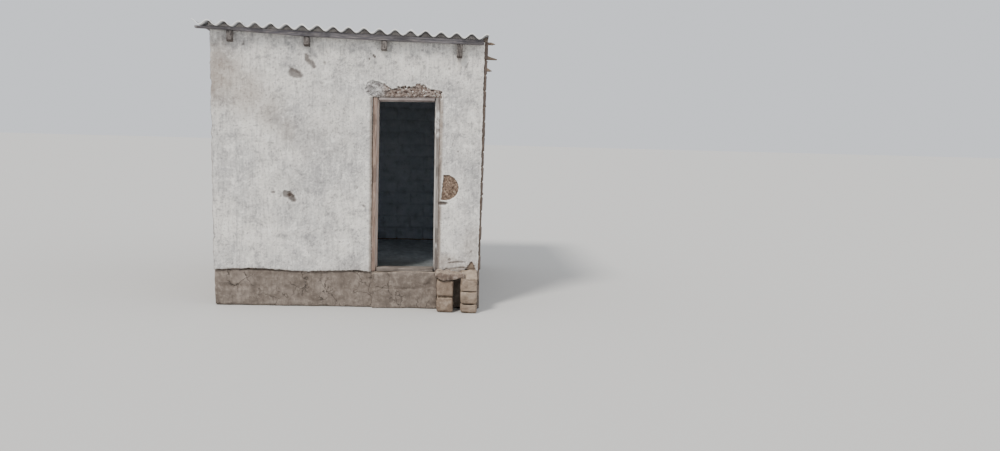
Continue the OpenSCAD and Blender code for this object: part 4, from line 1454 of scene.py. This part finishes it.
def add_timber(node, mesh, material, marks=None):
    """Makes a bar the piece that stands for a CAD node"""
    points, faces = mesh
    oriented(add_piece(node + "_timber", points, faces, [material], [node], marks))


JAMB_ROWS = 110         # rings of points along a jamb
RAIL_ROWS = 50
LINTEL_ROWS = 40
PURLIN_ROWS = 70
PURLIN_ENDS = (ROOF_LEFT + 0.012, ROOF_LEFT + ROOF_W - 0.046)
RAFTER_SWAY = (0.004, -0.003, 0.003, -0.002)    # how far each rafter bends sideways
UNSHADED_RAFTER = 2        # the third rafter's end has no dark underside


def build_rafters(material):
    """Four rafters with chipped, weathered front ends, and painted shade along their undersides"""
    for i in range(4):
        top = -PURLIN_T[i] - SEAT
        outline = rectangle(-RAFTER_W / 2, top - RAFTER_H[i], RAFTER_W / 2, top)

        def place(a, b, t, i=i, top=top):
            bend = RAFTER_SWAY[i] * np.sin(t * 2.1 + i)
            end = smooth(t, RAFTER_V[0] + 0.050, RAFTER_V[0])
            low = np.clip((top - b) / RAFTER_H[i], 0, 1)
            chipped = noise(np.stack([a, b, 0 * b + i], -1), 0.020, 240 + i)
            worn = noise(np.stack([a, 0 * b, 0 * b + i], -1), 0.03, 250)
            t = t + end * (0.010 * low + 0.012 * smooth(chipped, 0.0, 0.8))
            b = b + 0.012 * end * low * smooth(worn, -0.3, 0.8)
            return roof(np.stack([RAFTER_X[i] + a + bend, t, b], -1))

        along = spaced((RAFTER_V[0], 0.008), (RAFTER_V[0] + 0.06, 0.045), end=RAFTER_V[1])
        points, faces = bar(outline, 0.005, along, place, 200 + 10 * i, 0.0022)
        near_end = smooth(points[:, 1], EAVE_Y + RAFTER_V[0] + 0.030, EAVE_Y + RAFTER_V[0] + 0.010)
        low = roof_z(points[:, 0], points[:, 1], top - RAFTER_H[i])
        # Painted shade: darker along the underside of each rafter, where shade falls below it
        painted_shade_under = 0.70 * smooth(points[:, 2] - low, 0.030, 0.008) * (i != UNSHADED_RAFTER)
        add_timber("rafter_%d" % (i + 1), (points, faces), material, {"cut": near_end, "dark": painted_shade_under})


def build_purlins(material):
    """Three purlins whose depth changes along them, so that the sheets follow the sagging eave"""
    stations = [PURLIN_ENDS[0], *RAFTER_X, PURLIN_ENDS[1]]
    depths = [PURLIN_END_T[0], *PURLIN_T, PURLIN_END_T[1]]
    plain_depth = 0.040
    for n, name in enumerate(("eave_purlin", "middle_purlin", "back_purlin")):

        def place(a, b, t, n=n):
            depth = np.interp(t, stations, depths)
            return roof(np.stack([t, PURLIN_V[n] + a, b / plain_depth * depth], -1))

        outline = rectangle(0, -plain_depth, PURLIN_W, 0)
        mesh = bar(outline, 0.004, np.linspace(*PURLIN_ENDS, PURLIN_ROWS), place, 300 + 10 * n, 0.0012)
        add_timber(name, mesh, material)


def jamb_edge(side, z):
    """Inner edge of the left (0) or right (1) jamb at height z"""
    clear = FRAME_L + JAMB_W if side == 0 else FRAME_R - JAMB_W
    inward = JAMB_LEAN[side] * (z - PLINTH_H) / (JAMB_TOP - PLINTH_H - HORN - HEAD_T)
    return clear + inward if side == 0 else clear - inward


def build_jamb(side, material):
    """A jamb whose front inner edge is cut back for the door leaf"""
    sign = 1 if side == 0 else -1
    outline = [
        (-JAMB_W, 0), (-REBATE_W, 0), (-REBATE_W, REBATE_D), (0, REBATE_D), (0, FRAME_D), (-JAMB_W, FRAME_D)
    ]

    def place(a, b, t):
        return np.stack([jamb_edge(side, t) + sign * a, Y_ADOBE + b, t], -1)

    along = np.linspace(PLINTH_H, JAMB_TOP, JAMB_ROWS)
    points, faces = bar(outline, 0.004, along, place, 400 + 10 * side, 0.0013, 0.005)
    node = ("door_jamb_left", "door_jamb_right")[side]
    add_timber(node, (points, faces), material, jamb_marks(side, points))


def jamb_marks(side, points):
    """Pale rebates, partly a painted highlight; paint left on the right jamb; darkening at its top and foot;
    and painted shade along its outer edge
    """
    x, up = points[:, 0], points[:, 2] - PLINTH_H
    depth = np.abs(x - jamb_edge(side, points[:, 2]))
    # The rebates are pale partly as a painted highlight, where their step catches light
    rebate = smooth(depth, 0.020, 0.013)
    if side == 0:
        return {"pale": 0.8 * rebate, "painted": 0.25 * rebate}
    chipped = smooth(noise(points, (0.03, 0.03, 0.06), 421), 0.1, 0.5)
    paint = band(up, 1.52, 0.15, 0.10) + 0.8 * chipped * smooth(up, 0.50, 0.30)
    top = 0.6 * smooth(up, 1.70, 1.78) * smooth(depth, 0.025, 0.040)
    # Painted shade: a dark line along the right jamb's outer edge, beside the plaster
    edge = 0.6 * smooth(depth, JAMB_W - 0.014, JAMB_W - 0.006)
    foot = 0.45 * smooth(up, 0.45, 0.15) * (1 - chipped)
    return {"pale": 0.6 * rebate, "painted": highest(paint, 0.45 * rebate), "dark": highest(top, edge, foot)}


def build_rails(head_wood, sill_wood):
    """Head with its rebate, and the sill, both a little higher on the right"""
    z0 = JAMB_TOP - HORN - HEAD_T - HEAD_RISE

    def head_place(a, b, t):
        return np.stack([t, Y_ADOBE + a, z0 + HEAD_RISE * across_frame(t) + b], -1)

    outline = [
        (0, REBATE_W), (REBATE_D, REBATE_W), (REBATE_D, 0), (FRAME_D, 0), (FRAME_D, HEAD_T), (0, HEAD_T)
    ]
    low, high = corners("door_head")
    along = np.linspace(low[0], high[0], RAIL_ROWS)
    points, faces = bar(outline, 0.004, along, head_place, 430, 0.0013, 0.005)
    upper = smooth(points[:, 2] - z0 - HEAD_RISE / 2, HEAD_T - 0.022, HEAD_T - 0.008)
    marks = {"pale": np.full(len(points), 0.25), "dark": 0.35 * upper}
    add_timber("door_head", (points, faces), head_wood, marks)

    def sill_place(a, b, t):
        return np.stack([t, Y_ADOBE + a, PLINTH_H + b * (1 + SILL_RISE * across_frame(t))], -1)

    low, high = corners("door_sill")
    along = np.linspace(low[0], high[0], RAIL_ROWS)
    sill = bar(rectangle(0, 0, FRAME_D, SILL_T), 0.005, along, sill_place, 440, 0.0016, 0.006)
    add_timber("door_sill", sill, sill_wood)


def build_lintel(material):
    """Rough lintel in the wall over the frame"""
    def place(a, b, t):
        return np.stack([t, a, b], -1)

    outline = rectangle(LINTEL_LOW[1], LINTEL_LOW[2], LINTEL_HIGH[1], LINTEL_HIGH[2])
    along = np.linspace(LINTEL_LOW[0], LINTEL_HIGH[0], LINTEL_ROWS)
    add_timber("door_lintel", bar(outline, 0.005, along, place, 450, 0.0015, 0.012), material)


# Roof sheets


TILT = math.asin((SHEET_T + SEAT) / (ROW_V - PURLIN_V[0]))  # how far the front sheets tip over the back ones
WAVE_CELLS = 24         # grid cells across a wave
ROW_ENDS = ((0.0, FRONT_SHEET_L), (ROW_V, ROOF_LEN))    # front and back sheets down the slope
CORNER_CUT = (0.003, 0.015)     # a cut-off corner starts this far before the next sheet and the back row
CUT_SNAP = 0.0032       # grid lines nearer than this to the cut move onto it
LOWER_END = 0.06        # lengths of a sheet's ends, where chips fade out
UPPER_END = 0.19
NAIL_V = 0.03           # from a purlin's front edge to its nails
NAIL_TILT = 0.0042      # the front sheets' tilt, as the nails follow it
NAIL_RINGS = [          # radius and height over the sheet of a nail's rings, from its top
    (0.0, 0.0072), (0.0042, 0.0066), (0.0048, 0.0040), (0.0150, 0.0022), (0.0170, -0.0008),
    (0.0150, -0.0030)
]
NAIL_SPOKES = 12
FILL_HALF = 0.42        # half width of the mud in a wave, as a share of the wave
FILL_FROM, FILL_TO = 0.139, 2.757       # ends of the mud fill along the eave


def wave(u):
    """Height of the sheets' underside over the troughs, at u along the eave"""
    return WAVE_H / 2 * (1 + np.cos(2 * math.pi * u / WAVE))


def sheet_span(i):
    """Where sheet i starts and ends along the eave, from the roof's left edge"""
    start = i * SHEET_WAVES * WAVE
    return start, (ROOF_W if i == 2 else start + SHEET_WAVES * WAVE + SIDE_LAP)


def sheet_low(i, u):
    """Underside of sheet i over the troughs, lifted where it laps over the one before"""
    start = sheet_span(i)[0]
    lift = 0 if i == 0 else smooth(u - start, SIDE_LAP + WAVE, SIDE_LAP) * (SHEET_T + SEAT)
    return wave(u) + lift


def sheet_grid(i, row):
    """Grid over a sheet in roof measures, and which of its points to keep"""
    start, end = sheet_span(i)
    v0, v1 = ROW_ENDS[row]
    lines_u = np.linspace(start, end, round((end - start) / (WAVE / WAVE_CELLS)) + 1)
    cut_u = start + SHEET_WAVES * WAVE - CORNER_CUT[0]
    has_cut = row == 0 and i < 2
    if has_cut:
        lines_u = np.where(np.abs(lines_u - cut_u) < CUT_SNAP, cut_u, lines_u)
    lines_v = spaced((v0, 0.004), (v0 + 0.012, 0.02), (v0 + LOWER_END, 0.10), (v1 - UPPER_END, 0.0475),
                     end=v1)
    u, v = np.meshgrid(lines_u, lines_v, indexing="ij")
    cut_off = has_cut & (u > cut_u + 0.0005) & (v > ROW_V - CORNER_CUT[1])
    return u, v, ~cut_off


def chipped(i, row, u, v):
    """The places v of a sheet with its free end chipped"""
    v0, v1 = ROW_ENDS[row]
    along = np.stack([u, 0 * v, 0 * u], -1)
    chips = 0.004 * (0.5 + 0.5 * rough(along, 0.03, 510 + i))
    chips = chips + 0.012 * smooth(noise(along + i, 0.09, 520 + row), 0.45, 0.85)
    if row == 0:
        return v + chips * smooth(v, v0 + LOWER_END, v0)
    return v - chips * smooth(v, v1 - UPPER_END, v1)


def on_slope(row, v, w):
    """Place down the slope and height of a sheet's points; the front sheets tip over the back ones"""
    if row == 1:
        return v, w + SEAT
    down = PURLIN_V[0] + (v - PURLIN_V[0]) * math.cos(TILT) - w * math.sin(TILT)
    return down, SEAT + (v - PURLIN_V[0]) * math.sin(TILT) + w * math.cos(TILT)


def build_sheet(i, row, material):
    """One corrugated sheet with chipped ends; row 0 is the front one"""
    v0, v1 = ROW_ENDS[row]
    u, v, keep = sheet_grid(i, row)
    # Rim: the sheet's ends, pale partly as a painted highlight of the lit cut edge
    rim = smooth(np.minimum(v - v0, v1 - v), 0.060, 0.020)
    trough = smooth(np.cos(2 * math.pi * u / WAVE), -0.3, -0.9)
    low = sheet_low(i, u) - 0.0003 * (1 + rough(np.stack([u, v, 0 * u], -1), 0.20, 505 + row))
    v = chipped(i, row, u, v)
    layers = []
    for thickness in (SHEET_T, 0.0):
        down, up = on_slope(row, v, low + thickness)
        layers.append(roof(np.stack([u + ROOF_LEFT, down, up], -1)).reshape(-1, 3))
    top = grid_faces(keep)
    bottom = [[k + u.size for k in f[::-1]] for f in top]
    faces = top + bottom + rim_faces(top, u.size)
    marks = {"rim": np.tile(rim.ravel(), 2), "trough": np.tile(trough.ravel(), 2)}
    points, faces, marks = compact(np.concatenate(layers), faces, marks)
    name = "%s_sheet_%s" % (("front", "back")[row], ("left", "middle", "right")[i])
    piece = add_piece(name + "_corrugated", points, faces, [material], [name], marks)
    crease_rim(piece)


def rim_faces(top, shift):
    """Side faces that join a top grid's outer edges to the copy shift points on"""
    seen = {}
    for face in top:
        for a, b in zip(face, face[1:] + face[:1]):
            seen[(a, b)] = True
    return [[b, a, a + shift, b + shift] for a, b in seen if (b, a) not in seen]


def crease_rim(piece):
    """Keeps the cut edges of a sheet sharp"""
    bm = opened(oriented(piece))
    for edge in bm.edges:
        if len(edge.link_faces) == 2 and edge.calc_face_angle(0) > 1.0:
            edge.smooth = False
    put_back(bm, piece)


def nail(u, v, w):
    """A nail's head and domed washer on a crest, as points in roof measures and faces"""
    points = [(u + ROOF_LEFT, v, w + NAIL_RINGS[0][1])]
    for radius, height in NAIL_RINGS[1:]:
        for s in range(NAIL_SPOKES):
            turn = 2 * math.pi * s / NAIL_SPOKES
            points.append((u + ROOF_LEFT + radius * math.cos(turn), v + radius * math.sin(turn), w + height))
    bands = len(NAIL_RINGS) - 2
    faces = []
    for s in range(NAIL_SPOKES):
        after = (s + 1) % NAIL_SPOKES
        faces.append([0, 1 + s, 1 + after])
        for k in range(bands):
            a = 1 + k * NAIL_SPOKES
            faces.append([a + s, a + NAIL_SPOKES + s, a + NAIL_SPOKES + after, a + after])
    faces.append([1 + bands * NAIL_SPOKES + s for s in range(NAIL_SPOKES)][::-1])
    return np.array(points), faces


def build_nails(material):
    """Nails with domed washers on every other crest over the purlins"""
    nails = []
    for row, purlin_v in enumerate(PURLIN_V):
        v = purlin_v + NAIL_V
        for crest in range(1, WAVES, 2):
            u = crest * WAVE
            sheet = min(int(u // (SHEET_WAVES * WAVE)), 2)
            lift = 0.0 if row == 2 else (v - PURLIN_V[0]) * math.sin(NAIL_TILT)
            nails.append(nail(u, v, float(sheet_low(sheet, np.array(u))) + SHEET_T + SEAT + lift))
    points, faces = joined(nails)
    oriented(add_piece("roof_nails", roof(points), faces, [material], []))


def under_wave(points, u, seed):
    """Uneven height just below the sheets over each point"""
    low = wave(u) - 0.001 - 0.004 * np.abs(noise(points, 0.03, seed))
    return roof_z(points[:, 0], points[:, 1], low)


def build_gable_fill(material):
    """Mud packed between the right wall and the last wave of the sheets"""
    (x0, y0, _), (x1, y1, _) = corners("gable_fill")
    across, along = lines_between(x0, x1 - 0.002, 0.010, 0.004), lines_between(y0, y1, 0.02, 0.004)
    points, faces = box_surface(across, along, [0, 1])
    upper = under_wave(points, points[:, 0] - ROOF_LEFT, 530)
    lower = roof_z(points[:, 0], points[:, 1], -0.004)
    points[:, 1] += 0.004 * noise(points, 0.03, 533)
    points[:, 2] = np.where(points[:, 2] > 0.5, upper, lower)
    oriented(add_piece("gable_mud_fill", points, faces, [material], ["gable_fill"]))


def build_wave_fill(material):
    """Mud pushed into the waves of the sheets over the front wall"""
    front = EAVE_Y + PURLIN_V[0] + 0.006
    parts = []
    for k in range(1, WAVES):
        u0, u1 = max((k - FILL_HALF) * WAVE, FILL_FROM), min((k + FILL_HALF) * WAVE, FILL_TO)
        across, along = lines_between(u0, u1, 0.011, 0.003), lines_between(front, Y_ROOM - 0.02, 0.05, 0.006)
        points, faces = box_surface(across, along, np.linspace(0, 1, 4))
        u, share = points[:, 0].copy(), points[:, 2].copy()
        points[:, 0] = u + ROOF_LEFT
        uneven = 0.5 + 0.5 * noise(points + share[:, None], 0.03, 540)
        points[:, 1] += 0.012 * uneven * (points[:, 1] < front + 0.04)
        upper = under_wave(points, u, 541)
        lower = roof_z(points[:, 0], points[:, 1], -0.003)
        points[:, 2] = lower + share * (upper - lower)
        parts.append((points, faces))
    points, faces = joined(parts)
    oriented(add_piece("wave_mud_fill", points, faces, [material], []))


# Studio


CAMERA_AT = (X_RIGHT - 0.303, Y_FACE - 8.620, PLINTH_H + 1.680)
YAW, PITCH, ROLL = math.radians(3.3), math.radians(7.75), math.radians(-1.62)
LENS = 30.57            # focal length in millimetres, on film 36 mm wide
FLOOR_REACH = 40.0
FLOOR_Z = -0.001        # the floor lies just under the building's foot


def add_camera():
    """Camera where the photographer stood"""
    forward = np.array([math.sin(YAW) * math.cos(PITCH), math.cos(YAW) * math.cos(PITCH), -math.sin(PITCH)])
    level = np.array([math.cos(YAW), -math.sin(YAW), 0.0])
    down = np.cross(forward, level)
    right = math.cos(ROLL) * level + math.sin(ROLL) * down
    image_down = -math.sin(ROLL) * level + math.cos(ROLL) * down
    data = bpy.data.cameras.new("camera")
    data.lens = LENS
    data.sensor_width = 36
    camera = bpy.data.objects.new("camera", data)
    turn = Matrix([right, -image_down, -forward]).transposed()
    camera.matrix_world = Matrix.Translation(CAMERA_AT) @ turn.to_4x4()
    bpy.context.scene.collection.objects.link(camera)
    bpy.context.scene.camera = camera


def add_sun(name, towards, strength, softness, tint):
    """A broad studio light so far off that it falls evenly; softness is its width in degrees"""
    data = bpy.data.lights.new(name, "SUN")
    data.energy = strength
    data.angle = math.radians(softness)
    data.color = tint
    light = bpy.data.objects.new(name, data)
    light.rotation_mode = "QUATERNION"
    light.rotation_quaternion = Vector(towards).to_track_quat("Z", "Y")
    bpy.context.scene.collection.objects.link(light)


def add_floor():
    """Plain pale floor"""
    mesh = bpy.data.meshes.new("studio_floor")
    ends = [(-1, -1), (1, -1), (1, 1), (-1, 1)]
    mesh.from_pydata([(x * FLOOR_REACH, y * FLOOR_REACH, FLOOR_Z) for x, y in ends], [], [(0, 1, 2, 3)])
    mesh.materials.append(floor_material())
    floor = bpy.data.objects.new("studio_floor", mesh)
    bpy.context.scene.collection.objects.link(floor)


def add_studio():
    """Floor, pale surroundings and two soft lights"""
    add_floor()
    world = bpy.data.worlds.new("studio")
    world.use_nodes = True
    background = next(n for n in world.node_tree.nodes if n.type == "BACKGROUND")
    background.inputs["Color"].default_value = (0.92, 0.95, 1.0, 1)
    background.inputs["Strength"].default_value = 0.95
    bpy.context.scene.world = world
    add_sun("key", (-0.50, -0.62, 0.90), 3.3, 12, (1.0, 0.96, 0.91))
    add_sun("fill", (0.9, -0.3, 0.5), 0.5, 60, (0.96, 0.98, 1.0))


def build():
    """Makes every piece of the building"""
    adobe = adobe_material()
    mortar = mud_material("mud_mortar", (106, 92, 81), (130, 115, 102), (152, 137, 122))
    # Pale bluish mortar in the room: painted light, as for the adobe inside
    inner_mortar = mud_material("mud_mortar_inside", (166, 175, 186), (178, 186, 196), (188, 195, 204))
    mud = cracked_mud_material((108, 98, 90), (132, 121, 112), (157, 146, 135))
    left_wood = wood_material("frame_timber_left", "Z", (112, 92, 82), (142, 121, 109), (176, 157, 144))
    right_wood = wood_material(
        "frame_timber_right", "Z", (112, 104, 98), (140, 133, 128), (172, 166, 161), (212, 211, 208))
    head_wood = wood_material("frame_timber_head", "X", (116, 104, 99), (142, 132, 129), (172, 164, 161))
    sill_wood = wood_material("sill_timber", "X", (106, 97, 90), (128, 119, 111), (154, 145, 137))
    rafter_wood = wood_material("rafter_timber", "Y", (96, 90, 87), (122, 116, 112), (148, 141, 136))
    purlin_wood = wood_material("purlin_timber", "X", (100, 97, 102), (128, 125, 129), (172, 163, 156))
    build_plaster(plaster_material())
    build_walls(adobe, mortar, inner_adobe_material(), inner_mortar)
    build_squeezes(mortar)
    build_plinth(mud)
    build_floor(earth_material())
    build_threshold_mud(mud)
    build_packing(mud)
    build_step(adobe, mud_material("broken_slab", (108, 93, 83), (148, 133, 122), (188, 175, 164)))
    build_rafters(rafter_wood)
    build_purlins(purlin_wood)
    build_jamb(0, left_wood)
    build_jamb(1, right_wood)
    build_rails(head_wood, sill_wood)
    build_lintel(head_wood)
    cement = sheet_material()
    for row in (1, 0):
        for i in range(3):
            build_sheet(i, row, cement)
    build_nails(nail_material())
    build_gable_fill(mud)
    build_wave_fill(mud_material("wave_mud", (126, 121, 119), (150, 145, 142), (172, 166, 162)))


add_camera()
add_studio()
build()
